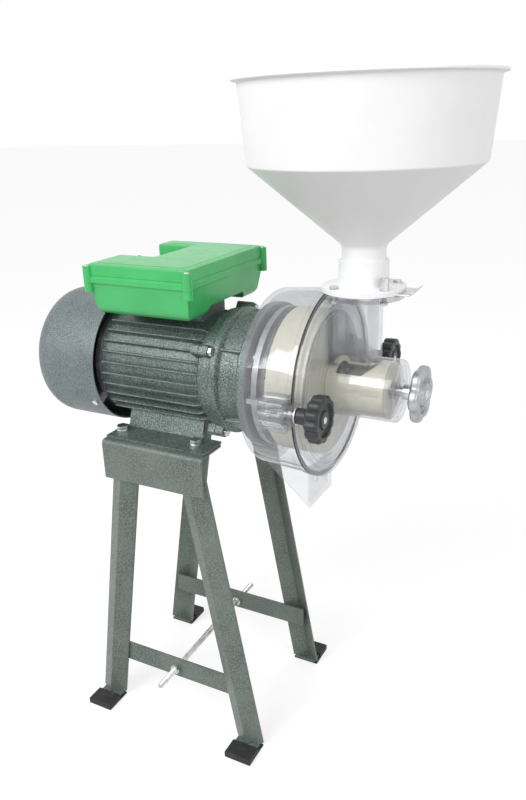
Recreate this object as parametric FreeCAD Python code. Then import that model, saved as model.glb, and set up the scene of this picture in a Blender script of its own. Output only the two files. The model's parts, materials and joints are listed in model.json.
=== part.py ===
import FreeCAD, Part
import math
import os
from FreeCAD import Vector

# Electric grain mill on a four-legged stand, in millimetres.
# The origin is on the floor, under the middle of the whole mill.
# X runs along the motor shaft towards the handwheel, Z is up, Y points away from the near side.

# Stand
stand_height = 428.0
stand_back_offset = 200.0
rail_length = 149.0
rail_spread = 215.0
rail_face_height = 53.0
rail_top_width = 48.0
sheet = 3.0
rail_bend_radius = 6.0
leg_top_spread = 88.0
leg_foot_spread = 233.0
leg_leaf_width = 23.0
leg_fold_angle = 30.0
leg_tuck = 44.0
foot_tab_length = 22.0
foot_tab_width = 33.0
pad_width = 39.0
pad_length = 26.0
pad_height = 9.0
pad_sole = 3.0
pad_sleeve_gap = 0.5
brace_height = 83.0
brace_width = 30.0
brace_end_reach = 12.0
rod_radius = 4.0
rod_length = 264.0
rod_chamfer = 1.2
nut_flats_m8 = 13.0
nut_height_m8 = 6.5
washer_radius_m8 = 8.0
washer_height_m8 = 1.5
head_height_m8 = 5.5
bolt_tail = 3.0
bolt_clearance = 0.3

# Motor, from the back of the cowl to the milling head
centre_height = 80.0
cowl_length = 107.0
cowl_radius = 87.5
cowl_wall = 1.6
cowl_edge_radius = 30.0
cowl_vent_width = 5.0
inner_vents = 10
inner_vent_start = 18.0
inner_vent_end = 37.0
outer_vents = 20
outer_vent_start = 43.0
outer_vent_end = 62.0
cowl_screw_inset = 11.0
cowl_screw_head = 2.4
cowl_screw_head_radius = 4.0
cowl_lug_back = 5.0
cowl_lug_front = 6.0
cowl_lug_root = 6.0
cowl_lug_gap = 0.3
housing_length = 153.0
housing_radius = 70.0
housing_bore = 64.0
fin_radius = 78.5
fin_thickness = 2.6
fin_pitch_angle = 10.5
fins_below = 4
fins_above = 5
fin_end_gap = 6.0
fin_front_gap = 2.0
fin_root = 2.0
seat_root = 8.0
box_seat_length = 110.0
box_seat_width = 56.0
front_rim_length = 25.0
front_rim_radius = 80.0
shield_neck_length = 31.0
shield_neck_radius = 71.0
shield_rib_radius = 78.0
shield_flange_length = 11.0
shield_flange_radius = 90.0
shield_wall = 5.0
shield_rib_count = 5
shield_rib_first = 54.0
shield_rib_width = 3.0
shield_rib_lap = 2.0
shield_hub_length = 16.0
shield_hub_wall = 6.0
shield_hub_draft = 2.0
shield_web_depth = 22.0
front_spigot = 4.0
rim_step = 3.0
rim_step_length = 14.0
rim_edge = 3.0
neck_flare = 6.0
neck_flare_length = 8.0
rear_flange_step = 3.0
rear_flange_length = 7.0
rear_spigot = 5.0
rear_hub_wall = 5.0
rear_hub_cap = 3.0
seal_radius = 18.0
ear_first = 58.0
ear_count = 4
ear_root = 4.0
ear_radius = 82.0
ear_size = 13.0
ear_length = 12.0
lug_length = 11.0
bolt_radius_m6 = 3.0
hex_flats_m6 = 10.0
head_height_m6 = 4.5
head_room_m6 = 6.2
bolt_tip_gap = 1.0
small_screw_radius = 2.0
screw_hole_clearance = 0.2
core_length = 80.0
stator_bore = 40.4
air_gap = 0.4
winding_length = 22.0
winding_outer = 60.0
winding_inner = 44.0
winding_edge_radius = 5.0
stator_slots = 24
slot_width = 4.0
slot_back_wall = 6.0
end_ring_step = 3.0
end_ring_hollow = 9.0
end_ring_length = 6.0
shaft_core_radius = 12.0
bearing_bore_radius = 10.0
bearing_outer_radius = 23.5
bearing_length = 14.0
bearing_shoulder = 2.0
front_bearing_inset = 4.0
outer_race_wall = 4.5
inner_race_wall = 4.0
race_groove_depth = 2.0
running_clearance = 0.05
fan_seat_radius = 8.5
nose_radius = 9.0
nose_reach = 4.0
shaft_back_gap = 16.0
fan_radius = 66.0
fan_blades = 9
fan_width = 24.0
fan_gap = 20.0
fan_hub_radius = 17.0
fan_disc_radius = 52.0
fan_disc_thickness = 3.0
fan_blade_start = 15.0
fan_blade_thickness = 2.4
foot_flange_width = 38.0
foot_flange_outset = 9.5
foot_web_top = 48.0
foot_web_lap = 6.0
foot_web_inset = 9.0
foot_end_gap = 1.0
foot_lug_gap = 1.5
foot_bolt_spacing = 112.0
foot_bolt_offset = 8.0
foot_bolt_spread = 152.0
governor_radius = 34.0
governor_gap = 3.0
governor_plate = 5.0
governor_weights = 3
weight_length = 9.0
weight_width = 14.0
weight_start = 20.0
weight_edge = 2.0
cowl_lug_width = 12.0

# Capacitor box
box_lift = 8.0
box_near_reach = 91.0
box_far_reach = 95.0
box_back_offset = 9.0
box_length = 146.0
box_depth = 64.0
box_arch_rise = 11.0
box_arch_near = 33.0
box_arch_far = 45.0
lid_height = 24.0
notch_depth = 53.0
notch_near = 22.0
notch_far = 58.0
box_wall = 2.5
lid_lip = 2.0
lobe_taper = 5.0
lobe_bottom_radius = 14.0
lobe_corner_steps = 6
far_lobe_rise = 1.0
arch_flank_near = 14.0
arch_flank_far = 8.0
box_corner_radius = 7.0
box_end_radius = 10.0
box_mouth_depth = 0.6
lid_rim_height = 7.0
lid_step = 1.5
lid_crown_height = 1.0
lid_crown_inset = 4.5
lid_boss_radius = 5.5
lid_boss_depth = 10.0
lid_bore_depth = 9.0
lid_screw_inset = 2.0
lid_screw_reach = 8.0
lid_screw_sink = 4.0
lid_screw_head = 2.5
lid_screw_head_radius = 3.6
lid_screw_room = 0.8
lid_slot_depth = 0.9
lid_thread_gap = 0.1
screw_slot_width = 1.0
start_capacitor_length = 82.0
start_capacitor_gap = 1.5
near_flank_room = 11.0
run_capacitor_length = 70.0
run_capacitor_gap = 2.5
capacitor_end_gap = 9.0
capacitor_rest_gap = 0.2
terminal_inset = 34.0
terminal_width = 18.0
terminal_height = 11.0
terminal_near_gap = 8.0
terminal_far_gap = 10.0
terminal_posts = 5
terminal_pitch = 12.0
terminal_post_start = 7.0
terminal_post_height = 5.0
terminal_post_radius = 2.2
gland_radius = 11.0
gland_flats = 21.0
gland_nut_length = 7.0
gland_thread = 5.0
gland_thread_radius = 7.0
gland_thread_gap = 0.2
gland_dome_length = 6.0
gland_dome_step = 2.0
gland_bore = 4.0
gland_length = 26.0
gland_drop = 16.0
gland_offset = 16.0

# Milling head
chamber_depth = 70.5
chamber_back_radius = 107.5
chamber_front_radius = 112.0
chamber_rim_radius = 113.6
chamber_rim_length = 6.0
chamber_bevel = 4.0
chamber_screw_reach = 9.0
chamber_screw_inset = 12.0
chamber_screw_head = 2.2
chamber_screw_head_radius = 5.5
nose_hole_clearance = 1.5
clear_wall = 4.0
seal_thickness = 1.5
spout_front_offset = 56.0
spout_width = 71.0
spout_drop = 157.0
spout_mouth_drop = 106.0
spout_root_drop = 60.0
spout_throat_drop = 80.0
spout_lug_radius = 4.0
spout_lug_height = 3.0
spout_lug_rise = 34.0
spout_lug_offset = 18.0
holder_gap = 3.0
holder_thickness = 7.0
holder_radius = 86.0
holder_hub_radius = 22.0
holder_hub_gap = 0.8
scraper_reach = 97.0
scraper_length = 20.0
scraper_width = 6.0
scraper_root = 8.0
scraper_gap = 3.0
scraper_arm_start = 70.0
disc_thickness = 7.5
disc_radius = 80.0
disc_hole = 30.0
grinding_gap = 1.0
disc_grooves = 24
disc_eye = 6.0
groove_width = 3.0
groove_angle = 24.0
groove_overrun = 2.0
groove_depth = 1.5
carrier_radius = 87.0
carrier_wall = 6.0
carrier_setback = 2.0
carrier_floor = 8.0
carrier_hub_wall = 5.0
carrier_spokes = 6
spoke_width = 5.0
spoke_end_gap = 3.0
liner_outer = 33.4
liner_inner = 27.0
auger_radius = 19.0
auger_core_radius = 10.0
auger_pitch = 24.0
auger_blade = 2.5
auger_reach = 48.0
auger_flight_gap = 4.0
cover_thickness = 4.0
cover_ring_radius = 103.3
cover_ring_width = 6.0
cover_ring_height = 4.0
cover_bead_radius = 92.0
cover_bead_width = 4.0
cover_bead_height = 2.0
cover_ear_rise = 2.0
tube_reach = 85.0
tube_outer = 36.9
tube_wall = 3.2
tube_end_thickness = 8.0
trough_start = 12.0
trough_end = 42.0
trough_slope_end = 71.0
trough_height = 19.0
trough_cut_top = 40.0
liner_reach = 73.0
liner_plug_start = 60.0
liner_plug_lap = 0.5
knob_offset = 114.3
stud_radius = 4.0
stud_clearance = 0.1
stud_sink = 1.5
ear_disc_radius = 13.0
knob_hub_radius = 9.0
knob_hub_length = 17.0
knob_head_radius = 26.4
knob_head_length = 15.5
knob_lobes = 12
knob_grip_depth = 3.4
grip_share = 0.55
knob_recess = 3.0
knob_rim = 7.0
knob_face_radius = 9.0
washer_thickness = 1.6
washer_edge = 1.4
stud_depth = 14.0
boss_length = 32.0
boss_radius = 13.0
boss_floor = 5.0
boss_column_count = 9
boss_column_radius = 6.0
boss_column_circle = 16.0
boss_column_gap = 4.0
screw_radius = 6.0
screw_collar_radius = 9.0
screw_collar_gap = 3.0
wheel_radius = 33.2
wheel_thickness = 13.0
wheel_lobes = 6
wheel_grip_depth = 5.0
wheel_edge_radius = 3.0
wheel_hub_step = 3.0
wheel_standoff = 15.0
wheel_hub_radius = 13.0
wheel_nose = 2.0
cup_radius = 11.0
cup_clearance = 0.3
cup_lip = 1.0
ball_radius = 5.0
ball_gap = 0.3
cup_length = 12.0

# Hopper
hopper_offset = 37.0
hopper_band_height = 86.0
hopper_cone_height = 86.3
hopper_neck_reach = 15.7
hopper_lip_radius = 139.5
hopper_top_radius = 133.5
hopper_waist_radius = 126.2
hopper_neck_radius = 24.4
hopper_wall = 2.5
lip_height = 5.0
lip_bevel = 1.0
waist_bevel = 1.5
neck_bevel = 2.0
neck_clearance = 0.3
collar_height = 32.4
collar_wall = 3.3
collar_flange_radius = 47.0
collar_flange_height = 5.0
collar_flange_slope = 1.6
collar_ledge = 1.0
collar_rise = 116.6
gate_thickness = 1.6
gate_width = 38.0
gate_clearance = 0.15
gate_reach = 12.0
gate_lap = 5.0
gate_way_end = 6.0
gate_tab_rise = 7.0
gate_tab_run = 6.0
gate_tab_inset = 8.0
gate_passage = 17.5
chute_length = 49.0
chute_width = 46.0
chute_flange_height = 7.0
chute_flange_radius = 46.0
chute_root_rise = 20.0
chute_hollow_rise = 10.0
collar_screw_radius = 2.5
collar_screw_circle = 39.0
collar_screw_angles = (-35, 35, 125, 235)
thumb_screw_angle = -35
collar_screw_head = 3.5
collar_screw_head_radius = 4.5
collar_screw_tail = 4.0
collar_shank_rise = 1.4
collar_nut_flats = 8.0
collar_nut_height = 3.0
thumb_screw_height = 14.0
thumb_screw_radius = 5.0
thumb_slot_width = 1.6
thumb_slot_depth = 3.0

# Positions that follow from the sizes above
shield_length = front_rim_length + shield_neck_length + shield_flange_length
motor_length = cowl_length + housing_length + shield_length
hopper_reach = motor_length + chamber_depth + seal_thickness + hopper_offset
cowl_back = -(hopper_reach + hopper_lip_radius) / 2
stand_x = cowl_back + stand_back_offset
shaft_z = stand_height + centre_height
cowl_edge = cowl_back + cowl_length
housing_end = cowl_edge + housing_length
neck_start = housing_end + front_rim_length
flange_start = neck_start + shield_neck_length
chamber_back = flange_start + shield_flange_length
chamber_front = chamber_back + chamber_depth
cover_back = chamber_front + seal_thickness
tube_end = cover_back + tube_reach
hopper_x = cover_back + hopper_offset
chute_start = cover_back + cover_thickness
core_middle = (cowl_edge + housing_end) / 2
front_bearing_x = housing_end + front_bearing_inset
rear_bearing_x = cowl_edge - bearing_length
holder_back = chamber_back + clear_wall + holder_gap
turning_face = holder_back + holder_thickness + disc_thickness
fixed_back = turning_face + grinding_gap
carrier_back = fixed_back + carrier_setback
auger_end = cover_back + auger_reach
wheel_back = tube_end + wheel_standoff
box_back = cowl_edge + box_back_offset
box_front = box_back + box_length
box_bottom = shaft_z + housing_radius + box_lift
box_top_height = box_bottom + box_depth
box_seam = box_top_height - lid_height
arch_height = box_bottom + box_arch_rise
gland_height = box_top_height - gland_drop
spout_bottom = shaft_z - spout_drop
spout_mouth_top = shaft_z - spout_mouth_drop
collar_seat = shaft_z + collar_rise
collar_top = collar_seat + collar_height
hopper_neck_height = collar_top + hopper_neck_reach
hopper_waist_height = hopper_neck_height + hopper_cone_height
hopper_height = hopper_waist_height + hopper_band_height

out = "parts"
os.makedirs(out, exist_ok=True)


def save(name, shape):
    shape.exportStep(out + "/" + name + ".step")


def rod_x(start, end, radius, y=0.0, z=shaft_z):
    return Part.makeCylinder(radius, end - start, Vector(start, y, z), Vector(1, 0, 0))


def rod_y(x, z, start, end, radius):
    return Part.makeCylinder(radius, end - start, Vector(x, start, z), Vector(0, 1, 0))


def rod_z(x, y, bottom, top, radius):
    return Part.makeCylinder(radius, top - bottom, Vector(x, y, bottom), Vector(0, 0, 1))


def tube_x(start, end, outer, inner, y=0.0, z=shaft_z):
    return rod_x(start, end, outer, y, z).cut(rod_x(start - 1, end + 1, inner, y, z))


def block(x, y, z):
    return Part.makeBox(x[1] - x[0], y[1] - y[0], z[1] - z[0], Vector(x[0], y[0], z[0]))


def prism(points, along):
    wire = Part.makePolygon(points + [points[0]])
    return Part.Face(wire).extrude(along)


def prism_x(points, start, end):
    return prism([Vector(start, y, z) for y, z in points], Vector(end - start, 0, 0))


def prism_y(points, start, end):
    return prism([Vector(x, start, z) for x, z in points], Vector(0, end - start, 0))


def prism_z(points, start, end):
    return prism([Vector(x, y, start) for x, y in points], Vector(0, 0, end - start))


def turned_x(points):
    "Solid of revolution about the shaft, from (x, radius) points."
    ring = [Vector(x, 0, shaft_z + r) for x, r in points]
    face = Part.Face(Part.makePolygon(ring + [ring[0]]))
    return face.revolve(Vector(0, 0, shaft_z), Vector(1, 0, 0), 360)


def turned_z(points):
    "Solid of revolution about the hopper's axis, from (radius, z) points."
    ring = [Vector(hopper_x + r, 0, z) for r, z in points]
    face = Part.Face(Part.makePolygon(ring + [ring[0]]))
    return face.revolve(Vector(hopper_x, 0, 0), Vector(0, 0, 1), 360)


def spun(shape, degrees, y=0.0, z=shaft_z):
    copy = shape.copy()
    copy.rotate(Vector(0, y, z), Vector(1, 0, 0), degrees)
    return copy


def around(shape, count, y=0.0, z=shaft_z, first=0.0):
    return [spun(shape, first + 360.0 * i / count, y, z) for i in range(count)]


def joined(shapes):
    first, rest = shapes[0], shapes[1:]
    return first.fuse(rest).removeSplitter() if rest else first


def group(shapes):
    return Part.makeCompound(shapes)


def far_side(shape):
    return shape.mirror(Vector(0, 0, 0), Vector(0, 1, 0))


def hexagon(flats):
    reach = flats / 2 / math.cos(math.radians(30))
    return [(reach * math.cos(math.radians(60 * i)), reach * math.sin(math.radians(60 * i)))
            for i in range(6)]


def hex_x(start, end, flats, y, z):
    return prism_x([(y + a, z + b) for a, b in hexagon(flats)], start, end)


def hex_y(x, z, start, end, flats):
    return prism_y([(x + a, z + b) for a, b in hexagon(flats)], start, end)


def hex_z(x, y, bottom, top, flats):
    return prism_z([(x + a, y + b) for a, b in hexagon(flats)], bottom, top)


def lobed_x(start, end, radius, lobes, depth, y=0.0, z=shaft_z):
    "Disc with a scalloped edge, for knobs and handwheels."
    disc = rod_x(start, end, radius, y, z)
    bite = radius * math.sin(math.pi / lobes) * grip_share
    centre = radius + bite - depth
    cutter = rod_x(start - 1, end + 1, bite, y, z + centre)
    return disc.cut(joined(around(cutter, lobes, y, z, 180.0 / lobes)))


# Stand
rail_y = rail_spread / 2
rail_bottom = stand_height - rail_face_height
foot_y = rail_y - sheet
leg_slope = (leg_foot_spread - leg_top_spread) / 2 / (stand_height - pad_sole)
leaf_depth = leg_leaf_width * math.sin(math.radians(leg_fold_angle))
leaf_span = leg_leaf_width * math.cos(math.radians(leg_fold_angle))
tab_top = pad_sole + sheet
bolt_xs = [stand_x - foot_bolt_offset - foot_bolt_spacing / 2,
           stand_x - foot_bolt_offset + foot_bolt_spacing / 2]
bolt_y = foot_bolt_spread / 2


def make_rail():
    "L-shaped strip with a rounded top bend, on the near side."
    outer = block((stand_x - rail_length / 2, stand_x + rail_length / 2),
                  (-rail_y, -rail_y + rail_top_width), (rail_bottom, stand_height))
    bend = [e for e in outer.Edges if abs(e.CenterOfMass.y + rail_y) < 0.01
            and abs(e.CenterOfMass.z - stand_height) < 0.01]
    outer = outer.makeFillet(rail_bend_radius, bend)
    inner = block((stand_x - rail_length, stand_x + rail_length),
                  (-rail_y + sheet, -rail_y + rail_top_width + 1), (rail_bottom - 1, stand_height - sheet))
    hollow_edge = [e for e in inner.Edges if abs(e.CenterOfMass.y + rail_y - sheet) < 0.01
                   and abs(e.CenterOfMass.z - stand_height + sheet) < 0.01]
    rail = outer.cut(inner.makeFillet(rail_bend_radius - sheet, hollow_edge))
    for x in bolt_xs:
        rail = rail.cut(rod_z(x, -bolt_y, rail_bottom, stand_height + 1, rod_radius + bolt_clearance))
    return rail


def leg_x(z):
    "Distance of a leg's ridge from the middle of the stand at height z."
    return leg_top_spread / 2 + leg_slope * (stand_height - z)


def make_leg(side):
    "Splayed V strip with its ridge outwards and a flat foot tab; side is -1 for back, 1 for front."
    skin = sheet / math.cos(math.radians(leg_fold_angle))
    outline = [(-leaf_span, leaf_depth), (0, 0), (leaf_span, leaf_depth),
               (leaf_span, leaf_depth + skin), (0, skin), (-leaf_span, leaf_depth + skin)]
    top = stand_height - rail_face_height + leg_tuck
    wires = []
    for z in (tab_top, top):
        centre = stand_x + side * leg_x(z)
        points = [Vector(centre + a, -foot_y + b, z) for a, b in outline]
        wires.append(Part.makePolygon(points + [points[0]]))
    strip = Part.makeLoft(wires, True, True)
    centre = stand_x + side * leg_x(tab_top)
    tab = block((centre - foot_tab_width / 2, centre + foot_tab_width / 2),
                (-foot_y - foot_tab_length, -foot_y + leaf_depth + skin), (pad_sole, tab_top))
    return strip.fuse(tab).removeSplitter()


def make_pad(side):
    "Rubber sleeve on a foot tab."
    centre = stand_x + side * leg_x(tab_top)
    width = (centre - pad_width / 2, centre + pad_width / 2)
    inner_end = -foot_y + leaf_depth + sheet
    sole = block(width, (-foot_y - pad_length, inner_end), (0, pad_sole))
    sleeve = block(width, (-foot_y - pad_length, -foot_y - pad_sleeve_gap), (0, pad_height))
    tab = block((centre - foot_tab_width / 2, centre + foot_tab_width / 2),
                (-foot_y - foot_tab_length, inner_end + 1), (pad_sole, tab_top))
    return sole.fuse(sleeve).removeSplitter().cut(tab)


rail = make_rail()
save("rail_near", rail)
save("rail_far", far_side(rail))
for side, name in ((-1, "back"), (1, "front")):
    leg = make_leg(side)
    save("leg_near_" + name, leg)
    save("leg_far_" + name, far_side(leg))
pads = [make_pad(-1), make_pad(1)]
save("foot_pads", group(pads + [far_side(pad) for pad in pads]))

# Braces and the tie rod between them
brace_outer = foot_y - leaf_depth - sheet / math.cos(math.radians(leg_fold_angle))
brace_reach = leg_x(brace_height) + brace_end_reach
brace = block((stand_x - brace_reach, stand_x + brace_reach), (-brace_outer, -brace_outer + sheet),
              (brace_height - brace_width / 2, brace_height + brace_width / 2))
brace = brace.cut(rod_y(stand_x, brace_height, -brace_outer - 1, -brace_outer + sheet + 1,
                        rod_radius + bolt_clearance))
save("brace_near", brace)
save("brace_far", far_side(brace))
tie_rod = rod_y(stand_x, brace_height, -rod_length / 2, rod_length / 2, rod_radius)
rod_rims = [e for e in tie_rod.Edges if e.Curve.TypeId == "Part::GeomCircle"]
save("tie_rod", tie_rod.makeChamfer(rod_chamfer, rod_rims))
nuts = []
for start in (-brace_outer - nut_height_m8, -brace_outer + sheet):
    nut = hex_y(stand_x, brace_height, start, start + nut_height_m8, nut_flats_m8)
    nut = nut.cut(rod_y(stand_x, brace_height, start - 1, start + nut_height_m8 + 1, rod_radius))
    nuts += [nut, far_side(nut)]
save("tie_rod_nuts", group(nuts))

# Motor feet: a flange on the rail and a slanted web up to the housing
foot_outer = rail_y - foot_flange_outset
flange_top = stand_height + sheet
flange_inner = foot_outer - foot_flange_width
foot_back = stand_x - rail_length / 2
foot_front = stand_x + rail_length / 2
web_top_z = shaft_z - math.sqrt(housing_radius ** 2 - foot_web_top ** 2) + foot_web_lap
foot_profile = [(-foot_outer, stand_height), (-flange_inner + sheet, stand_height),
                (-foot_web_top + sheet, web_top_z), (-foot_web_top, web_top_z),
                (-flange_inner, flange_top), (-foot_outer, flange_top)]
foot = prism_x(foot_profile, foot_back + foot_end_gap, foot_front - foot_end_gap)
web_back = foot_back + foot_web_inset
web_front = housing_end - lug_length - foot_lug_gap
for edges in ((foot_back - sheet, web_back), (web_front, foot_front + sheet)):
    foot = foot.cut(block(edges, (-foot_outer - sheet, 0), (flange_top, shaft_z)))
foot = foot.cut(rod_x(foot_back, foot_front, housing_radius))
for x in bolt_xs:
    foot = foot.cut(rod_z(x, -bolt_y, stand_height - 1, flange_top + 1, rod_radius + bolt_clearance))
foot = foot.Solids[0]
save("motor_foot_near", foot)
save("motor_foot_far", far_side(foot))
foot_bolts = []
nut_top = stand_height - sheet
nut_bottom = nut_top - nut_height_m8
head_bottom = flange_top + washer_height_m8
for x in bolt_xs:
    bolt = rod_z(x, -bolt_y, nut_bottom - bolt_tail, flange_top, rod_radius)
    bolt = bolt.fuse(rod_z(x, -bolt_y, flange_top, head_bottom, washer_radius_m8))
    bolt = bolt.fuse(hex_z(x, -bolt_y, head_bottom, head_bottom + head_height_m8, nut_flats_m8))
    bolt = bolt.removeSplitter()
    nut = hex_z(x, -bolt_y, nut_bottom, nut_top, nut_flats_m8)
    nut = nut.cut(rod_z(x, -bolt_y, nut_bottom - 1, nut_top + 1, rod_radius))
    foot_bolts += [bolt, nut, far_side(bolt), far_side(nut)]
save("foot_bolts", group(foot_bolts))

# Motor housing with fins on both flanks and a seat for the box
fin_start = cowl_edge + fin_end_gap
fins = []
for step in range(-fins_below, fins_above + 1):
    fin = block((fin_start, housing_end - fin_front_gap), (-fin_radius, -housing_radius + fin_root),
                (shaft_z - fin_thickness / 2, shaft_z + fin_thickness / 2))
    fin = spun(fin, -fin_pitch_angle * step)
    fins += [fin, far_side(fin)]
seat = block((core_middle - box_seat_length / 2, core_middle + box_seat_length / 2),
             (-box_seat_width / 2, box_seat_width / 2),
             (shaft_z + housing_radius - seat_root, arch_height))
ear_angles = [ear_first + 360.0 * i / ear_count for i in range(ear_count)]


def ear(start, end):
    "Block with a rounded outer end that takes one of the four shield bolts."
    tip = rod_x(start, end, ear_size / 2, 0, shaft_z + ear_radius)
    return tip.fuse(block((start, end), (-ear_size / 2, ear_size / 2),
                          (shaft_z + housing_radius - ear_root, shaft_z + ear_radius)))


ear_end = housing_end + ear_length
bolt_end = housing_end - lug_length + bolt_tip_gap
bolt_bore = rod_x(bolt_end, ear_end + 1, bolt_radius_m6, 0, shaft_z + ear_radius)
bolt_bores = [spun(bolt_bore, angle) for angle in ear_angles]
lugs = [spun(ear(housing_end - lug_length, housing_end), angle) for angle in ear_angles]
housing = joined([rod_x(cowl_edge, housing_end, housing_radius), seat] + fins + lugs)
housing = housing.cut([rod_x(cowl_edge - 1, housing_end + 1, housing_bore)] + bolt_bores)
save("motor_housing", housing)

# Stator, winding, rotor core
core_start = core_middle - core_length / 2
core_end = core_middle + core_length / 2
stator = tube_x(core_start, core_end, housing_bore, stator_bore)
slot = block((core_start - 1, core_end + 1), (-slot_width / 2, slot_width / 2),
             (shaft_z + stator_bore - 1, shaft_z + winding_outer - slot_back_wall))
save("stator_core", stator.cut(joined(around(slot, stator_slots))))
coils = []
for start in (core_start - winding_length, core_end):
    coil = tube_x(start, start + winding_length, winding_outer, winding_inner)
    rims = [e for e in coil.Edges if e.Curve.TypeId == "Part::GeomCircle"]
    coils.append(coil.makeFillet(winding_edge_radius, rims))
save("stator_winding", group(coils))
rotor = tube_x(core_start, core_end, stator_bore - air_gap, shaft_core_radius)
ring_outer = stator_bore - end_ring_step
ring_inner = shaft_core_radius + end_ring_hollow
end_rings = [tube_x(core_start - end_ring_length, core_start, ring_outer, ring_inner),
             tube_x(core_end, core_end + end_ring_length, ring_outer, ring_inner)]
save("rotor_core", joined([rotor] + end_rings))

# Shaft with its bearing seats, fan seat and long nose into the mill
rear_bearing_end = rear_bearing_x + bearing_length
front_bearing_end = front_bearing_x + bearing_length
shaft_back = cowl_back + shaft_back_gap
fan_seat_end = rear_bearing_x - bearing_shoulder
nose_start = front_bearing_end + bearing_shoulder
nose_end = turning_face + nose_reach
seat_radius = bearing_bore_radius - running_clearance
shaft = turned_x([(shaft_back, 0), (shaft_back, fan_seat_radius), (fan_seat_end, fan_seat_radius),
                  (fan_seat_end, seat_radius), (rear_bearing_end, seat_radius),
                  (rear_bearing_end, shaft_core_radius), (front_bearing_x, shaft_core_radius),
                  (front_bearing_x, seat_radius), (nose_start, seat_radius),
                  (nose_start, nose_radius), (nose_end, nose_radius), (nose_end, 0)])
save("motor_shaft", shaft)
bearings = []
for start in (rear_bearing_x, front_bearing_x):
    bearing = tube_x(start, start + bearing_length, bearing_outer_radius, bearing_bore_radius)
    groove = tube_x(start - 1, start + race_groove_depth, bearing_outer_radius - outer_race_wall,
                    bearing_bore_radius + inner_race_wall)
    bearings.append(bearing.cut(groove))
save("motor_bearings", group(bearings))

# Front end shield: rim with four ears, neck with ribs, flange that carries the chamber
bore = bearing_outer_radius
shield_inner = shield_neck_radius - shield_wall
spigot_radius = housing_bore - shield_wall
hub_end = housing_end + shield_hub_length
rim_step_end = housing_end + rim_step_length
neck_wall_start = housing_end + shield_web_depth
seal_pocket = chamber_back - shield_wall
front_shield = turned_x([(housing_end, bore), (housing_end, bore + shield_hub_wall),
                         (hub_end, bore + shield_hub_wall + shield_hub_draft), (hub_end, spigot_radius),
                         (housing_end - front_spigot, spigot_radius),
                         (housing_end - front_spigot, housing_bore), (housing_end, housing_bore),
                         (housing_end, front_rim_radius - rim_step),
                         (rim_step_end, front_rim_radius - rim_step), (rim_step_end, front_rim_radius),
                         (neck_start - rim_edge, front_rim_radius),
                         (neck_start, shield_neck_radius + rim_edge),
                         (flange_start - neck_flare_length, shield_neck_radius),
                         (flange_start, shield_flange_radius - neck_flare),
                         (flange_start, shield_flange_radius), (chamber_back, shield_flange_radius),
                         (chamber_back, seal_radius), (seal_pocket, seal_radius),
                         (seal_pocket, shield_inner), (neck_wall_start, shield_inner),
                         (neck_wall_start, bore)])
rib = block((neck_start - shield_rib_lap, flange_start + shield_rib_lap),
            (-shield_rib_width / 2, shield_rib_width / 2),
            (shaft_z + shield_neck_radius - shield_rib_lap, shaft_z + shield_rib_radius))
bolts = []
for angle in ear_angles:
    shank = rod_x(bolt_end, ear_end, bolt_radius_m6, 0, shaft_z + ear_radius)
    head = hex_x(ear_end, ear_end + head_height_m6, hex_flats_m6, 0, shaft_z + ear_radius)
    bolts.append(spun(shank.fuse(head).removeSplitter(), angle))
ears = [spun(ear(housing_end, ear_end), angle) for angle in ear_angles]
ribs = around(rib, shield_rib_count, first=shield_rib_first)
front_shield = joined([front_shield] + ears + ribs)
for angle in ear_angles:
    front_shield = front_shield.cut(spun(rod_x(ear_end, neck_start + 1, head_room_m6, 0,
                                               shaft_z + ear_radius), angle))
front_shield = front_shield.cut(bolt_bores)
front_shield = front_shield.cut(rod_x(front_bearing_x, front_bearing_end, bearing_outer_radius))
save("shield_bolts", group(bolts))

# Rear end shield inside the cowl
rear_flange_radius = housing_radius + rear_flange_step
rear_flange_back = cowl_edge - rear_flange_length
rear_hub_back = rear_bearing_x - rear_hub_cap
rear_shield = turned_x([(cowl_edge, bore), (cowl_edge, spigot_radius),
                        (cowl_edge + rear_spigot, spigot_radius), (cowl_edge + rear_spigot, housing_bore),
                        (cowl_edge, housing_bore), (cowl_edge, rear_flange_radius),
                        (rear_flange_back, rear_flange_radius),
                        (rear_flange_back, bore + shield_hub_wall), (rear_hub_back, bore + rear_hub_wall),
                        (rear_hub_back, shaft_core_radius), (rear_bearing_x, shaft_core_radius),
                        (rear_bearing_x, bore)])
cowl_screw_x = cowl_edge - cowl_screw_inset
cowl_screw_angles = (120, 240, 0)
housing_top = shaft_z + housing_radius
cowl_top = shaft_z + cowl_radius
cowl_lug = block((cowl_screw_x - cowl_lug_back, cowl_screw_x + cowl_lug_front),
                 (-cowl_lug_width / 2, cowl_lug_width / 2),
                 (housing_top - cowl_lug_root, cowl_top - cowl_wall - cowl_lug_gap))
cowl_lug = cowl_lug.cut(rod_z(cowl_screw_x, 0, housing_top, cowl_top, small_screw_radius))
cowl_lugs = [spun(cowl_lug, angle) for angle in cowl_screw_angles]
save("rear_end_shield", joined([rear_shield] + cowl_lugs))

# Governor of the start switch, on the shaft behind the rotor
governor_end = core_start - winding_length - governor_gap
governor = tube_x(governor_end - governor_plate, governor_end, governor_radius, shaft_core_radius)
weight = block((governor_end - weight_length, governor_end), (-weight_width / 2, weight_width / 2),
               (shaft_z + weight_start, shaft_z + governor_radius - weight_edge))
save("start_governor", joined([governor] + around(weight, governor_weights)))

# Cooling fan and cowl
fan_start = cowl_back + fan_gap
fan_end = fan_start + fan_width
fan = rod_x(fan_start, fan_end, fan_hub_radius)
fan = fan.fuse(rod_x(fan_end - fan_disc_thickness, fan_end, fan_disc_radius))
blade = block((fan_start, fan_end), (-fan_blade_thickness / 2, fan_blade_thickness / 2),
              (shaft_z + fan_blade_start, shaft_z + fan_radius))
fan = joined([fan] + around(blade, fan_blades))
save("cooling_fan", fan.cut(rod_x(fan_start - 1, fan_end + 1, fan_seat_radius)))


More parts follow.
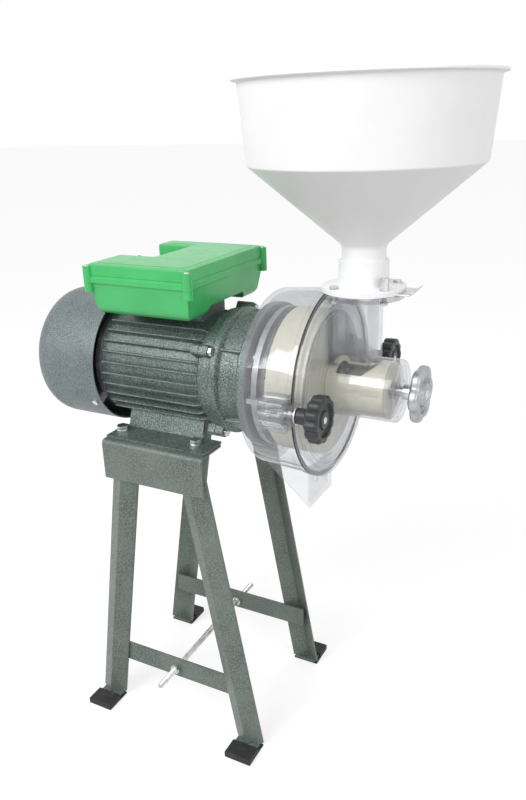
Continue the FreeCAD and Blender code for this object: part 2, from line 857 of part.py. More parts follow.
def cowl_solid(inset):
    "Domed cup open towards the motor, drawn in by an even inset."
    radius = cowl_radius - inset
    back = cowl_back + inset
    turn = cowl_edge_radius - inset
    shoulder = back + turn
    flat = radius - turn
    slant = turn * math.sin(math.radians(45))
    middle = Vector(shoulder - slant, 0, shaft_z + flat + slant)
    start = Vector(shoulder, 0, shaft_z + radius)
    end = Vector(back, 0, shaft_z + flat)
    points = [end, Vector(back, 0, shaft_z), Vector(cowl_edge, 0, shaft_z),
              Vector(cowl_edge, 0, shaft_z + radius), start]
    lines = [Part.makeLine(a, b) for a, b in zip(points, points[1:])]
    arc = Part.Arc(start, middle, end).toShape()
    face = Part.Face(Part.Wire([arc] + lines))
    return face.revolve(Vector(0, 0, shaft_z), Vector(1, 0, 0), 360)


def cowl_vent(start, end):
    "Slot through the cowl's back between two distances from the shaft."
    return block((cowl_back - 1, cowl_back + cowl_edge_radius), (-cowl_vent_width / 2, cowl_vent_width / 2),
                 (shaft_z + start, shaft_z + end))


cowl = cowl_solid(0).cut(cowl_solid(cowl_wall))
cowl = cowl.cut(joined(around(cowl_vent(inner_vent_start, inner_vent_end), inner_vents)))
cowl = cowl.cut(joined(around(cowl_vent(outer_vent_start, outer_vent_end), outer_vents)))
cowl_screws = []
for angle in cowl_screw_angles:
    hole = rod_z(cowl_screw_x, 0, housing_top, cowl_top + 1, small_screw_radius + screw_hole_clearance)
    cowl = cowl.cut(spun(hole, angle))
    shank = rod_z(cowl_screw_x, 0, housing_top, cowl_top, small_screw_radius)
    head = rod_z(cowl_screw_x, 0, cowl_top, cowl_top + cowl_screw_head, cowl_screw_head_radius)
    cowl_screws.append(spun(shank.fuse(head).removeSplitter(), angle))
save("fan_cowl", cowl)
save("cowl_screws", group(cowl_screws))

# Capacitor box: two lobes beside the motor joined by a bridge, open at the back


def box_plan(inset):
    "Outline of the box from above: C shape with its notch towards the back."
    back, front = box_back + inset, box_front - inset
    near, far = -box_near_reach + inset, box_far_reach - inset
    step = box_back + notch_depth + inset
    return [(back, near), (front, near), (front, far), (back, far), (back, notch_far + inset),
            (step, notch_far + inset), (step, -notch_near - inset), (back, -notch_near - inset)]


def upright_box(inset, bottom, top):
    "Upright block with the box's outline and its four outer corners rounded."
    shape = prism_z(box_plan(inset), bottom, top)
    ends = (box_back + inset, box_front - inset)
    sides = (-box_near_reach + inset, box_far_reach - inset)
    corners = [e for e in shape.Edges if e.BoundBox.ZLength > 0.01
               and min(abs(e.CenterOfMass.x - x) for x in ends) < 0.01
               and min(abs(e.CenterOfMass.y - y) for y in sides) < 0.01]
    return shape.makeFillet(box_corner_radius - inset, corners)


def rounded_corner(y, z, radius, side):
    "Points down a lower corner from (y, z); side is 1 where it turns towards growing y, -1 the other way."
    points = []
    for step in range(1, lobe_corner_steps):
        angle = math.radians(90 * step / lobe_corner_steps)
        points.append((y + side * radius * (1 - math.cos(angle)), z - radius * math.sin(angle)))
    return points


def lobe_section(inset, taper):
    "Cross-section of the box's underside: two rounded lobes and the arch between them."
    near = -box_near_reach + lid_lip + inset
    far = box_far_reach - lid_lip - inset
    low = box_bottom + inset
    far_low = low + far_lobe_rise
    arch = arch_height + inset
    r = lobe_bottom_radius - inset
    inner_near = -box_arch_near - inset
    inner_far = box_arch_far + inset
    points = [(near, box_seam), (near + taper, low + r)]
    points += rounded_corner(near + taper, low + r, r, 1)
    points += [(near + taper + r, low), (inner_near - arch_flank_near, low), (inner_near, arch),
               (inner_far, arch), (inner_far + arch_flank_far, far_low), (far - taper - r, far_low)]
    points += reversed(rounded_corner(far - taper, far_low + r, r, -1))
    points += [(far - taper, far_low + r), (far, box_seam)]
    return points


def tapered_ends(inset):
    "Side view of the box below the seam: both ends lean inwards towards the bottom."
    back, front = box_back + lid_lip + inset, box_front - lid_lip - inset
    low = box_bottom + inset
    r = box_end_radius - inset
    points = [(back, box_seam), (back + lobe_taper, low + r)]
    points += rounded_corner(back + lobe_taper, low + r, r, 1)
    points += [(back + lobe_taper + r, low), (front - lobe_taper - r, low)]
    points += reversed(rounded_corner(front - lobe_taper, low + r, r, -1))
    return points + [(front - lobe_taper, low + r), (front, box_seam)]


def lower_box(inset):
    body = upright_box(lid_lip + inset, box_bottom, box_seam)
    body = body.common(prism_x(lobe_section(inset, lobe_taper), box_back, box_front))
    return body.common(prism_y(tapered_ends(inset), -box_near_reach, box_far_reach))


def box_corners():
    "Places of the four lid screws."
    return [(x, y) for x in (box_back + lid_screw_inset, box_front - lid_screw_inset)
            for y in (-box_near_reach + lid_screw_inset, box_far_reach - lid_screw_inset)]


mouth = upright_box(lid_lip + box_wall, box_seam - box_mouth_depth, box_seam + 1)
box_body = lower_box(0).cut(lower_box(box_wall).fuse(mouth))
box_body = box_body.fuse([rod_z(x, y, box_seam - lid_boss_depth, box_seam, lid_boss_radius)
                          for x, y in box_corners()])
box_body = box_body.removeSplitter()
gland_x = box_back + gland_offset
gland_wall = -notch_near
gland_hole = rod_y(gland_x, gland_height, gland_wall - gland_thread, gland_wall + 3, gland_thread_radius)
for x, y in box_corners():
    box_body = box_body.cut(rod_z(x, y, box_seam - lid_bore_depth, box_seam + 1, small_screw_radius))
lid_ledge = box_seam + lid_rim_height
lid_crown = box_top_height - lid_crown_height
screw_seat = box_top_height - lid_screw_sink
lid_outer = upright_box(0, box_seam, lid_ledge)
lid_outer = lid_outer.fuse(upright_box(lid_step, lid_ledge, lid_crown))
lid_outer = lid_outer.fuse(upright_box(lid_crown_inset, lid_crown, box_top_height)).removeSplitter()
lid = lid_outer.cut(upright_box(lid_step + box_wall, box_seam - 1, box_top_height - box_wall))
lid = lid.fuse([rod_z(x, y, box_seam, screw_seat, lid_boss_radius) for x, y in box_corners()])
lid = lid.removeSplitter()
lid_screws = []
for x, y in box_corners():
    lid = lid.cut(rod_z(x, y, box_seam - 1, box_top_height + 1, small_screw_radius + screw_hole_clearance))
    lid = lid.cut(rod_z(x, y, screw_seat, box_top_height + 1, lid_screw_head_radius + lid_screw_room))
    shank = rod_z(x, y, box_seam - lid_screw_reach, screw_seat, small_screw_radius - lid_thread_gap)
    head_top = screw_seat + lid_screw_head
    head = rod_z(x, y, screw_seat, head_top, lid_screw_head_radius)
    slot = block((x - lid_screw_head_radius - 1, x + lid_screw_head_radius + 1),
                 (y - screw_slot_width / 2, y + screw_slot_width / 2),
                 (head_top - lid_slot_depth, box_top_height))
    lid_screws.append(shank.fuse(head).removeSplitter().cut(slot))
lid = lid.cut(rod_y(gland_x, gland_height, gland_wall - gland_thread, gland_wall + 4, gland_thread_radius))
save("capacitor_box", box_body.cut(gland_hole))
save("box_lid", lid)
save("lid_screws", group(lid_screws))

# Capacitors in the two lobes, and the terminals on the bridge between them
box_floor = box_bottom + box_wall
near_wall = box_near_reach - lid_lip - lobe_taper - box_wall
start_capacitor_radius = (near_wall - start_capacitor_gap - box_arch_near - near_flank_room) / 2
start_y = -near_wall + start_capacitor_gap + start_capacitor_radius
start_x = (box_back + box_front - start_capacitor_length) / 2
start_z = box_floor + start_capacitor_radius + capacitor_rest_gap
save("start_capacitor", rod_x(start_x, start_x + start_capacitor_length, start_capacitor_radius,
                              start_y, start_z))
far_wall = box_far_reach - lid_lip - lobe_taper - box_wall
far_flank = box_arch_far + arch_flank_far + box_wall
run_capacitor_radius = (far_wall - far_flank) / 2 - run_capacitor_gap
run_x = box_front - lid_lip - box_wall - lobe_taper - capacitor_end_gap - run_capacitor_length
run_z = box_floor + far_lobe_rise + run_capacitor_radius + capacitor_rest_gap
save("run_capacitor", rod_x(run_x, run_x + run_capacitor_length, run_capacitor_radius,
                            (far_wall + far_flank) / 2, run_z))
strip_x = box_front - terminal_inset
strip_near = -box_arch_near + terminal_near_gap
strip_far = box_arch_far - terminal_far_gap
strip_bottom = arch_height + box_wall
strip_top = strip_bottom + terminal_height
terminals = block((strip_x, strip_x + terminal_width), (strip_near, strip_far), (strip_bottom, strip_top))
posts = [rod_z(strip_x + terminal_width / 2, strip_near + terminal_post_start + terminal_pitch * i,
               strip_top, strip_top + terminal_post_height, terminal_post_radius)
         for i in range(terminal_posts)]
save("terminal_block", joined([terminals] + posts))

# Cord gland in the near side of the notch: nut, threaded end through the wall, barrel and dome
gland_end = gland_wall + gland_length
barrel_end = gland_end - gland_dome_length
gland = hex_y(gland_x, gland_height, gland_wall, gland_wall + gland_nut_length, gland_flats)
gland = gland.fuse(rod_y(gland_x, gland_height, gland_wall - gland_thread, barrel_end,
                         gland_thread_radius - gland_thread_gap))
gland = gland.fuse(rod_y(gland_x, gland_height, gland_wall + gland_nut_length, barrel_end, gland_radius))
gland = gland.fuse(rod_y(gland_x, gland_height, barrel_end, gland_end, gland_radius - gland_dome_step))
gland = gland.removeSplitter()
gland = gland.cut(rod_y(gland_x, gland_height, gland_wall - gland_thread - 1, gland_end + 1, gland_bore))
save("cord_gland", gland)

# Shaft seal in the front shield, and the screws that hold the chamber on the shield
save("shaft_seal", tube_x(seal_pocket, chamber_back, seal_radius, nose_radius + running_clearance))
chamber_screws = []
chamber_face = chamber_back + clear_wall
screw_tip = chamber_back - chamber_screw_reach
screw_z = shaft_z + shield_flange_radius - chamber_screw_inset
for angle in ear_angles:
    shank = rod_x(screw_tip, chamber_face, bolt_radius_m6, 0, screw_z)
    head = rod_x(chamber_face, chamber_face + chamber_screw_head, chamber_screw_head_radius, 0, screw_z)
    chamber_screws.append(spun(shank.fuse(head).removeSplitter(), angle))
    screw_bore = rod_x(screw_tip, chamber_back + 1, bolt_radius_m6, 0, screw_z)
    front_shield = front_shield.cut(spun(screw_bore, angle))
save("front_end_shield", front_shield)
save("chamber_screws", group(chamber_screws))

# Clear rear chamber
rim_start = chamber_front - chamber_rim_length
chamber_outer = turned_x([(chamber_back, 0), (chamber_back, chamber_back_radius - chamber_bevel),
                          (chamber_back + chamber_bevel, chamber_back_radius),
                          (rim_start, chamber_front_radius), (rim_start, chamber_rim_radius),
                          (chamber_front, chamber_rim_radius), (chamber_front, 0)])
chamber_inner = turned_x([(chamber_face, 0), (chamber_face, chamber_back_radius - clear_wall),
                          (chamber_front + 1, chamber_front_radius - clear_wall), (chamber_front + 1, 0)])
boss_back = chamber_front - boss_length


def knob_boss():
    "Boss that takes a knob's stud, with a ring of round columns, on the near side."
    boss = rod_x(boss_back, chamber_front, boss_radius, -knob_offset)
    column = rod_x(boss_back, chamber_front - boss_column_gap, boss_column_radius, -knob_offset,
                   shaft_z + boss_column_circle)
    return joined([boss] + around(column, boss_column_count, -knob_offset))


boss_near = knob_boss()
bore_near = rod_x(boss_back + boss_floor, cover_back, stud_radius + bolt_clearance, -knob_offset)
chamber = joined([chamber_outer, boss_near, far_side(boss_near)]).cut(chamber_inner)
chamber = chamber.cut([bore_near, far_side(bore_near)])
chamber = chamber.cut(rod_x(chamber_back - 1, chamber_face + 1, nose_radius + nose_hole_clearance))
screw_hole = rod_x(chamber_back - 1, chamber_face + 1, bolt_radius_m6 + screw_hole_clearance, 0, screw_z)
chamber = chamber.cut([spun(screw_hole, angle) for angle in ear_angles])
spout_front = chamber_back + spout_front_offset
spout_half = spout_width / 2
spout_throat = spout_half - clear_wall
chamber = chamber.cut(block((chamber_face, spout_front - clear_wall), (-spout_throat, spout_throat),
                            (spout_bottom, shaft_z - spout_throat_drop)))
save("grinding_chamber", chamber.Solids[0])

# Outlet spout under the chamber, with a slanted mouth towards the motor
spout_root = shaft_z - spout_root_drop
spout_side = [(chamber_back, spout_root), (chamber_back, spout_mouth_top), (spout_front, spout_bottom),
              (spout_front, spout_root)]
spout = prism_y(spout_side, -spout_half, spout_half)
spout = spout.cut(block((chamber_back - 1, spout_front - clear_wall), (-spout_throat, spout_throat),
                        (spout_bottom - 1, spout_root + 1)))
spout = spout.cut(chamber_outer)
lug_end = spout_front + spout_lug_height
lugs = [rod_x(spout_front, lug_end, spout_lug_radius, y, spout_bottom + spout_lug_rise)
        for y in (-spout_lug_offset, spout_lug_offset)]
save("outlet_spout", joined([spout] + lugs))

# Turning holder with its disc and two scrapers, keyed on the shaft nose
holder_front = holder_back + holder_thickness
holder = rod_x(holder_back, holder_front, holder_radius)
holder = holder.fuse(rod_x(chamber_face + holder_hub_gap, holder_back, holder_hub_radius))
scraper_side = (-scraper_width / 2, scraper_width / 2)
scraper_top = shaft_z + scraper_reach
scraper = block((holder_back, holder_back + scraper_length), scraper_side,
                (shaft_z + holder_radius - scraper_root, scraper_top))
arm = block((holder_back, holder_front), scraper_side, (shaft_z + scraper_arm_start, scraper_top))
clear_of_carrier = rod_x(holder_front, holder_front + scraper_length, carrier_radius + scraper_gap)
scraper = scraper.cut(clear_of_carrier).fuse(arm)
holder = joined([holder] + around(scraper, 2, first=90))
save("disc_holder", holder.cut(rod_x(chamber_back, turning_face, nose_radius)))


def grinding_disc(back, front, cut_face):
    "Annular disc with slanted grooves in one face."
    disc = tube_x(back, front, disc_radius, disc_hole)
    groove_start = shaft_z + disc_hole + disc_eye
    groove = block((cut_face - groove_depth, cut_face + groove_depth), (-groove_width / 2, groove_width / 2),
                   (groove_start, shaft_z + disc_radius + groove_overrun))
    groove.rotate(Vector(cut_face, 0, groove_start), Vector(1, 0, 0), groove_angle)
    return disc.cut(joined(around(groove, disc_grooves)))


save("turning_disc", grinding_disc(holder_front, turning_face, turning_face))
save("fixed_disc", grinding_disc(fixed_back, fixed_back + disc_thickness, fixed_back))

# Cream carrier behind the cover, holding the fixed disc
seat_depth = fixed_back + disc_thickness
disc_pocket = disc_radius + running_clearance
carrier = turned_x([(carrier_back, disc_pocket), (carrier_back, carrier_radius),
                    (cover_back, carrier_radius), (cover_back, liner_outer),
                    (seat_depth, liner_outer), (seat_depth, disc_pocket)])
pocket_back = seat_depth + carrier_floor
pocket_front = cover_back - carrier_wall
pocket_inner = liner_outer + carrier_hub_wall
pocket_outer = carrier_radius - carrier_wall
pocket = turned_x([(pocket_back, pocket_inner), (pocket_back, pocket_outer), (pocket_front, pocket_outer),
                   (pocket_front, pocket_inner)])
spoke = block((seat_depth, cover_back), (-spoke_width / 2, spoke_width / 2),
              (shaft_z + liner_outer + 1, shaft_z + carrier_radius - spoke_end_gap))
save("disc_carrier", carrier.cut(pocket.cut(joined(around(spoke, carrier_spokes)))))

# Cream feed liner with its cut-away trough under the chute
liner_end = cover_back + liner_reach
liner = tube_x(seat_depth, liner_end, liner_outer, liner_inner)
liner = liner.fuse(tube_x(cover_back + liner_plug_start, liner_end, liner_inner + liner_plug_lap,
                          cup_radius + cup_clearance))
trough_from = cover_back + trough_start
trough_to = cover_back + trough_end
slope_to = cover_back + trough_slope_end
trough_top = shaft_z + trough_cut_top
trough = prism_y([(trough_from, shaft_z + trough_height), (trough_to, shaft_z + trough_height),
                  (slope_to, trough_top), (trough_from, trough_top)], -liner_outer - 1, liner_outer + 1)
save("feed_liner", liner.removeSplitter().cut(trough))

# Feed screw on the shaft nose
flight_from = nose_end + auger_flight_gap
flight_length = auger_end - flight_from - auger_blade
inner_edge = Part.makeHelix(auger_pitch, flight_length, auger_core_radius - 1).Edges[0]
outer_edge = Part.makeHelix(auger_pitch, flight_length, auger_radius).Edges[0]
flight = Part.makeRuledSurface(inner_edge, outer_edge).extrude(Vector(0, 0, auger_blade))
flight.rotate(Vector(0, 0, 0), Vector(0, 1, 0), 90)
flight.translate(Vector(flight_from, 0, shaft_z))
core = rod_x(nose_end, auger_end, auger_core_radius)
save("auger", core.fuse(flight))

# Seal ring and clear front cover
gasket = tube_x(chamber_front, cover_back, chamber_rim_radius, chamber_front_radius - clear_wall)
save("cover_gasket", gasket.cut([bore_near, far_side(bore_near)]))
cover_front = chute_start
ear_front = cover_front + cover_ear_rise
cover = rod_x(cover_back, cover_front, chamber_rim_radius)
cover = cover.fuse(tube_x(cover_front, cover_front + cover_ring_height, cover_ring_radius,
                          cover_ring_radius - cover_ring_width))
cover = cover.fuse(tube_x(cover_front, cover_front + cover_bead_height, cover_bead_radius,
                          cover_bead_radius - cover_bead_width))
for y in (-knob_offset, knob_offset):
    cover = cover.fuse(rod_x(cover_back, ear_front, ear_disc_radius, y))
cover = cover.removeSplitter().cut(rod_x(cover_back - 1, cover_front + 1, liner_outer))
for y in (-knob_offset, knob_offset):
    cover = cover.cut(rod_x(cover_back - 1, ear_front + 1, stud_radius + stud_clearance, y))
save("front_cover", cover)

# Clear feed tube with its end cap, and the clear chute above it
chute_end = chute_start + chute_length
chute_half = chute_width / 2
feed_tube = tube_x(cover_front, tube_end, tube_outer, tube_outer - tube_wall)
feed_tube = feed_tube.fuse(tube_x(tube_end - tube_end_thickness, tube_end, tube_outer,
                                  screw_radius + stud_clearance))
chute_top = collar_seat - gate_thickness - gate_clearance
chute_flange = chute_top - chute_flange_height
chute_hollow = block((chute_start + clear_wall, chute_end - clear_wall),
                     (-chute_half + clear_wall, chute_half - clear_wall),
                     (shaft_z + chute_hollow_rise, chute_top + 1))
save("feed_tube", feed_tube.removeSplitter().cut(chute_hollow))
chute = block((chute_start, chute_end), (-chute_half, chute_half), (shaft_z + chute_root_rise, chute_top))
flange_reach = chute_flange_radius + 1
flange_room = block((cover_front, hopper_x + flange_reach), (-flange_reach, flange_reach),
                    (chute_flange, chute_top))
flange_disc = rod_z(hopper_x, 0, chute_flange, chute_top, chute_flange_radius)
chute = chute.fuse(flange_disc.common(flange_room)).removeSplitter()
screw_places = []
for angle in collar_screw_angles:
    x = hopper_x + collar_screw_circle * math.cos(math.radians(angle))
    y = collar_screw_circle * math.sin(math.radians(angle))
    screw_places.append((x, y, angle))
collar_screw_bores = [rod_z(x, y, chute_flange - 1, collar_top, collar_screw_radius)
                      for x, y, a in screw_places]
chute = chute.cut([chute_hollow, rod_x(cover_back, tube_end, tube_outer), cover] + collar_screw_bores)
save("feed_chute", chute)

# White collar on the chute, with a shallow way for the gate
collar_hub = hopper_neck_radius + collar_wall
collar_bore = hopper_neck_radius + neck_clearance
flange_crown = collar_seat + collar_flange_height
seat_top = flange_crown - collar_flange_slope
neck_bottom = flange_crown - collar_ledge
collar = turned_z([(gate_passage, chute_top), (collar_flange_radius, chute_top),
                   (collar_flange_radius, seat_top), (collar_hub + 1, flange_crown),
                   (collar_hub, collar_top), (collar_bore, collar_top), (collar_bore, neck_bottom),
                   (gate_passage, neck_bottom)])
gate_side = gate_width / 2
gate_way = block((hopper_x - gate_passage - gate_way_end, hopper_x + collar_flange_radius + 1),
                 (-gate_side - gate_clearance, gate_side + gate_clearance), (chute_top - 1, collar_seat))
spot_faces = [rod_z(x, y, seat_top, collar_top, thumb_screw_radius + bolt_clearance)
              for x, y, a in screw_places]
save("hopper_collar", collar.cut(gate_way).cut(collar_screw_bores + spot_faces))

# Slide gate with its bent tab
gate_low = chute_top + gate_clearance / 2
gate_high = gate_low + gate_thickness
gate_tip = hopper_x + collar_flange_radius + gate_reach
gate = block((hopper_x - gate_passage - gate_lap, gate_tip), (-gate_side, gate_side), (gate_low, gate_high))
tab_high = gate_low + gate_tab_rise
tab_tip = gate_tip + gate_tab_run
tab = prism_y([(gate_tip, gate_low), (tab_tip, tab_high), (tab_tip - gate_thickness, tab_high),
               (gate_tip - gate_thickness, gate_high), (gate_tip - gate_thickness, gate_low)],
              -gate_side + gate_tab_inset, gate_side - gate_tab_inset)
save("slide_gate", gate.fuse(tab).removeSplitter())

# Screws through collar and chute flange; the front near one is a tall thumb screw
collar_screws = []
for x, y, angle in screw_places:
    shank_top = flange_crown + collar_shank_rise
    shank = rod_z(x, y, chute_flange - collar_screw_tail, shank_top, collar_screw_radius)
    low_nut = hex_z(x, y, chute_flange - collar_nut_height, chute_flange, collar_nut_flats)
    if angle == thumb_screw_angle:
        head_top = seat_top + thumb_screw_height
        head = rod_z(x, y, seat_top, head_top, thumb_screw_radius)
        head = head.cut(block((x - thumb_screw_radius - 1, x + thumb_screw_radius + 1),
                              (y - thumb_slot_width / 2, y + thumb_slot_width / 2),
                              (head_top - thumb_slot_depth, head_top + 1)))
    else:
        head = rod_z(x, y, seat_top, seat_top + collar_screw_head, collar_screw_head_radius)
    collar_screws.append(shank.fuse([head, low_nut]).removeSplitter())
save("collar_screws", group(collar_screws))

# Hopper: flared lip, tapered wall, cone and neck
inner_neck = hopper_neck_radius - hopper_wall
lip_bottom = hopper_height - lip_height
hopper = turned_z([(hopper_neck_radius, neck_bottom), (hopper_neck_radius, hopper_neck_height),
                   (hopper_waist_radius - waist_bevel, hopper_waist_height - waist_bevel),
                   (hopper_waist_radius, hopper_waist_height), (hopper_top_radius, lip_bottom),
                   (hopper_lip_radius - lip_bevel, lip_bottom + lip_bevel),
                   (hopper_lip_radius, hopper_height - lip_bevel),
                   (hopper_lip_radius - lip_bevel, hopper_height),
                   (hopper_top_radius - hopper_wall, hopper_height - lip_bevel),
                   (hopper_waist_radius - hopper_wall, hopper_waist_height + lip_bevel),
                   (inner_neck, hopper_neck_height + neck_bevel), (inner_neck, neck_bottom)])
save("hopper", hopper)

# Star knobs with their studs, and the washers under them
knob_start = ear_front + washer_thickness
head_start = knob_start + knob_hub_length
head_end = head_start + knob_head_length
knob_hub = rod_x(knob_start, head_start + 1, knob_hub_radius, -knob_offset)
head = lobed_x(head_start, head_end, knob_head_radius, knob_lobes, knob_grip_depth, -knob_offset)
head = head.cut(tube_x(head_end - knob_recess, head_end + 1, knob_head_radius - knob_rim,
                       knob_face_radius, -knob_offset))
stud = rod_x(chamber_front - stud_depth, head_end - stud_sink, stud_radius, -knob_offset)
knob = joined([knob_hub, head, stud])
save("star_knob_near", knob)
save("star_knob_far", far_side(knob))
washer = tube_x(ear_front, knob_start, knob_hub_radius + washer_edge, stud_radius + stud_clearance,
                -knob_offset)
save("knob_washer_near", washer)
save("knob_washer_far", far_side(washer))

# Adjusting screw, cast handwheel, and the cup with its ball that meets the feed screw
ball_x = auger_end + ball_gap + ball_radius
cup_start = ball_x + cup_lip
screw_start = cup_start + cup_length
wheel_end = wheel_back + wheel_thickness + wheel_nose
ball = Part.makeSphere(ball_radius, Vector(ball_x, 0, shaft_z))
cup = rod_x(cup_start, screw_start, cup_radius).cut(ball)
save("thrust_cup", group([cup, ball]))
screw = rod_x(screw_start, wheel_end, screw_radius)
screw = screw.fuse(rod_x(tube_end + screw_collar_gap, wheel_back, screw_collar_radius)).removeSplitter()
save("adjusting_screw", screw)
wheel = lobed_x(wheel_back, wheel_back + wheel_thickness, wheel_radius, wheel_lobes, wheel_grip_depth)
rims = [e for e in wheel.Edges if e.BoundBox.XLength < 0.01]
wheel = wheel.makeFillet(wheel_edge_radius, rims)
wheel = wheel.fuse(rod_x(wheel_back - wheel_hub_step, wheel_end, wheel_hub_radius)).removeSplitter()
wheel = wheel.cut(rod_x(wheel_back - wheel_hub_step - 1, wheel_end + 1, screw_radius))
save("handwheel", wheel.cut(rod_x(wheel_back - wheel_hub_step - 1, wheel_back, screw_collar_radius)))
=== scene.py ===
import json
from math import cos, degrees, pi, radians, sin, sqrt, tan

import bmesh
import bpy
from bpy.props import FloatProperty, FloatVectorProperty, IntProperty, PointerProperty
from mathutils import Matrix, Vector

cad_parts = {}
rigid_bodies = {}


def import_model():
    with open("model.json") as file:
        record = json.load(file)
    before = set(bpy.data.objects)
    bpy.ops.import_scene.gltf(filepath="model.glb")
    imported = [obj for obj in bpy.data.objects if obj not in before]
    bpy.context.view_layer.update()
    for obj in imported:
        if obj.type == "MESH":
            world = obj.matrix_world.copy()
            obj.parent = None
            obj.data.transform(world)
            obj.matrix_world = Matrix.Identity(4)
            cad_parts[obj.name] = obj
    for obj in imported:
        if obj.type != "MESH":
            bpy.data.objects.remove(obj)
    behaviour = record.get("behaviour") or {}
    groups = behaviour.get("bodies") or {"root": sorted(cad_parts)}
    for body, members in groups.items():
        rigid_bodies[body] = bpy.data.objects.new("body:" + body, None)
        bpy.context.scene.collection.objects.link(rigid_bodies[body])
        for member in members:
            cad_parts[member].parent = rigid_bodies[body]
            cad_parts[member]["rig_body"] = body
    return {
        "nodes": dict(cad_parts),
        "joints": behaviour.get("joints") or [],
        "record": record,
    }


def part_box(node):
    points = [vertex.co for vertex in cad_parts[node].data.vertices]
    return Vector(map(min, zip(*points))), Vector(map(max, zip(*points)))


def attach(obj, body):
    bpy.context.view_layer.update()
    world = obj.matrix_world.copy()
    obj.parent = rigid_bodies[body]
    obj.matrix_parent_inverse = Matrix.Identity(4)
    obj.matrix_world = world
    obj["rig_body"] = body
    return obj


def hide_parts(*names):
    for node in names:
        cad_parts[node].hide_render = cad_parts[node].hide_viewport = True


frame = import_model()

bl_info = {
    "name": "Electric grain mill",
    "version": (1, 0, 0),
    "blender": (4, 5, 0),
    "location": "View3D > Sidebar > Grain mill",
    "description": "Dresses the packed model of an electric grain mill",
    "category": "Object",
}

# Outlines are in millimetres; meshes are in metres
MM = 0.001


def span(node, axis):
    "Lowest and highest millimetre of a node along one axis."
    low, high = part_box(node)
    return low["XYZ".index(axis)] / MM, high["XYZ".index(axis)] / MM


def middle(node, axis):
    low, high = span(node, axis)
    return (low + high) / 2


def joint_height(name):
    return next(j for j in frame["joints"] if j["name"] == name)["pos_m"][2] / MM


def size(default, text, name, low=0.0, high=1000.0):
    "Property for a length in millimetres, kept in metres."
    return FloatProperty(name=name, description=text, default=default * MM, min=low * MM, max=high * MM,
                         unit="LENGTH", subtype="DISTANCE")


def tint(default, text, name):
    return FloatVectorProperty(name=name, description=text, default=default, size=3, min=0.0, max=1.0,
                               subtype="COLOR")


def amount(default, text, name, high=1.0, unit="NONE"):
    return FloatProperty(name=name, description=text, default=default, min=0.0, max=high, unit=unit)


def count_of(default, text, name, low, high):
    return IntProperty(name=name, description=text, default=default, min=low, max=high)


class StandLooks(bpy.types.PropertyGroup):
    # The light paint is a painted highlight on the raised cells; the hollows keep the darker paint, which
    # reads as painted shade.
    paint_dark: tint((0.108, 0.132, 0.116), "Hollows of the stand's hammer paint", "Dark paint")
    paint_highlight: tint((0.195, 0.23, 0.205), "Raised cells of the stand's hammer paint", "Light paint")
    cell: size(1.7, "Size of a cell in the stand's paint", "Paint cell", 0.2, 20)
    edge: size(0.9, "Rounding on the folded strips", "Edge rounding", 0, 3)


class MotorLooks(bpy.types.PropertyGroup):
    # The light flecks on the motor and the cowl are painted highlights on the raised cells of the paint,
    # over a darker ground in the hollows.
    paint_dark: tint((0.080, 0.112, 0.104), "Ground of the motor's coarse paint", "Dark paint")
    paint_highlight: tint((0.245, 0.295, 0.278), "Flecks of the motor's coarse paint", "Light flecks")
    cowl_dark: tint((0.105, 0.135, 0.145), "Ground of the cowl's paint", "Dark cowl paint")
    cowl_highlight: tint((0.25, 0.285, 0.295), "Flecks of the cowl's paint", "Light cowl flecks")
    fleck: size(1.5, "Size of a fleck in the motor's paint", "Paint fleck", 0.2, 20)
    fin_root: size(3.8, "Thickness of a fin at its root", "Fin root", 1, 10)
    fin_tip: size(2.2, "Thickness of a fin at its tip", "Fin tip", 0.5, 10)
    fin_count: count_of(10, "Fins on each flank", "Fins", 1, 30)
    green: tint((0.05, 0.50, 0.135), "Moulded plastic of the capacitor box", "Box green")
    box_corner: size(7.0, "Rounding of the box's upright corners", "Box corner", 1, 12)


class HeadLooks(bpy.types.PropertyGroup):
    clear: tint((0.95, 0.96, 0.967), "Light that one wall of the clear plastic lets through", "Clear tint")
    haze: tint((0.44, 0.44, 0.47), "Body colour of the clear plastic", "Clear body")
    cream: tint((0.92, 0.86, 0.71), "Moulded feed liner and disc carrier", "Cream")
    knob: tint((0.022, 0.026, 0.028), "Star knobs", "Knob black")
    knob_grips: count_of(12, "Grips round a star knob", "Knob grips", 3, 24)
    wheel_grips: count_of(6, "Lobes of the handwheel", "Wheel grips", 3, 12)


class HopperLooks(bpy.types.PropertyGroup):
    white: tint((0.93, 0.93, 0.935), "Moulded hopper and collar", "White")
    wall: size(2.5, "Wall of the hopper", "Wall", 1, 6)
    lip: size(4.4, "Height of the hopper's flared lip", "Lip height", 1, 5)


class StageLooks(bpy.types.PropertyGroup):
    floor: size(40000.0, "Side of the pale floor", "Floor side", 1000, 90000)
    floor_tone: amount(0.46, "Share of its light that the floor gives back", "Floor tone")
    glow: amount(0.63, "Light that the floor adds where it is seen", "Floor glow")
    key: amount(35.5, "Power of the large lamp", "Key light", 1000.0, "POWER")
    fill: amount(10.0, "Power of the small lamp", "Fill light", 1000.0, "POWER")
    sky: amount(0.7, "Strength of the world on surfaces", "Sky", 2.0)


class MillLooks(bpy.types.PropertyGroup):
    stand: PointerProperty(type=StandLooks, name="Stand", description="Looks of the stand")
    motor: PointerProperty(type=MotorLooks, name="Motor", description="Looks of the motor and its box")
    head: PointerProperty(type=HeadLooks, name="Milling head", description="Looks of the milling head")
    hopper: PointerProperty(type=HopperLooks, name="Hopper", description="Looks of the hopper")
    stage: PointerProperty(type=StageLooks, name="Stage", description="Floor, lamps and world")


# Nodes and shader maths

def tree_node(tree, kind, links=None, settings=None):
    "Node with its settings, then the values or links of its sockets."
    made = tree.nodes.new(kind)
    for key, value in (settings or {}).items():
        setattr(made, key, value)
    for key, value in (links or {}).items():
        if isinstance(value, bpy.types.NodeSocket):
            tree.links.new(value, made.inputs[key])
        else:
            made.inputs[key].default_value = value
    return made


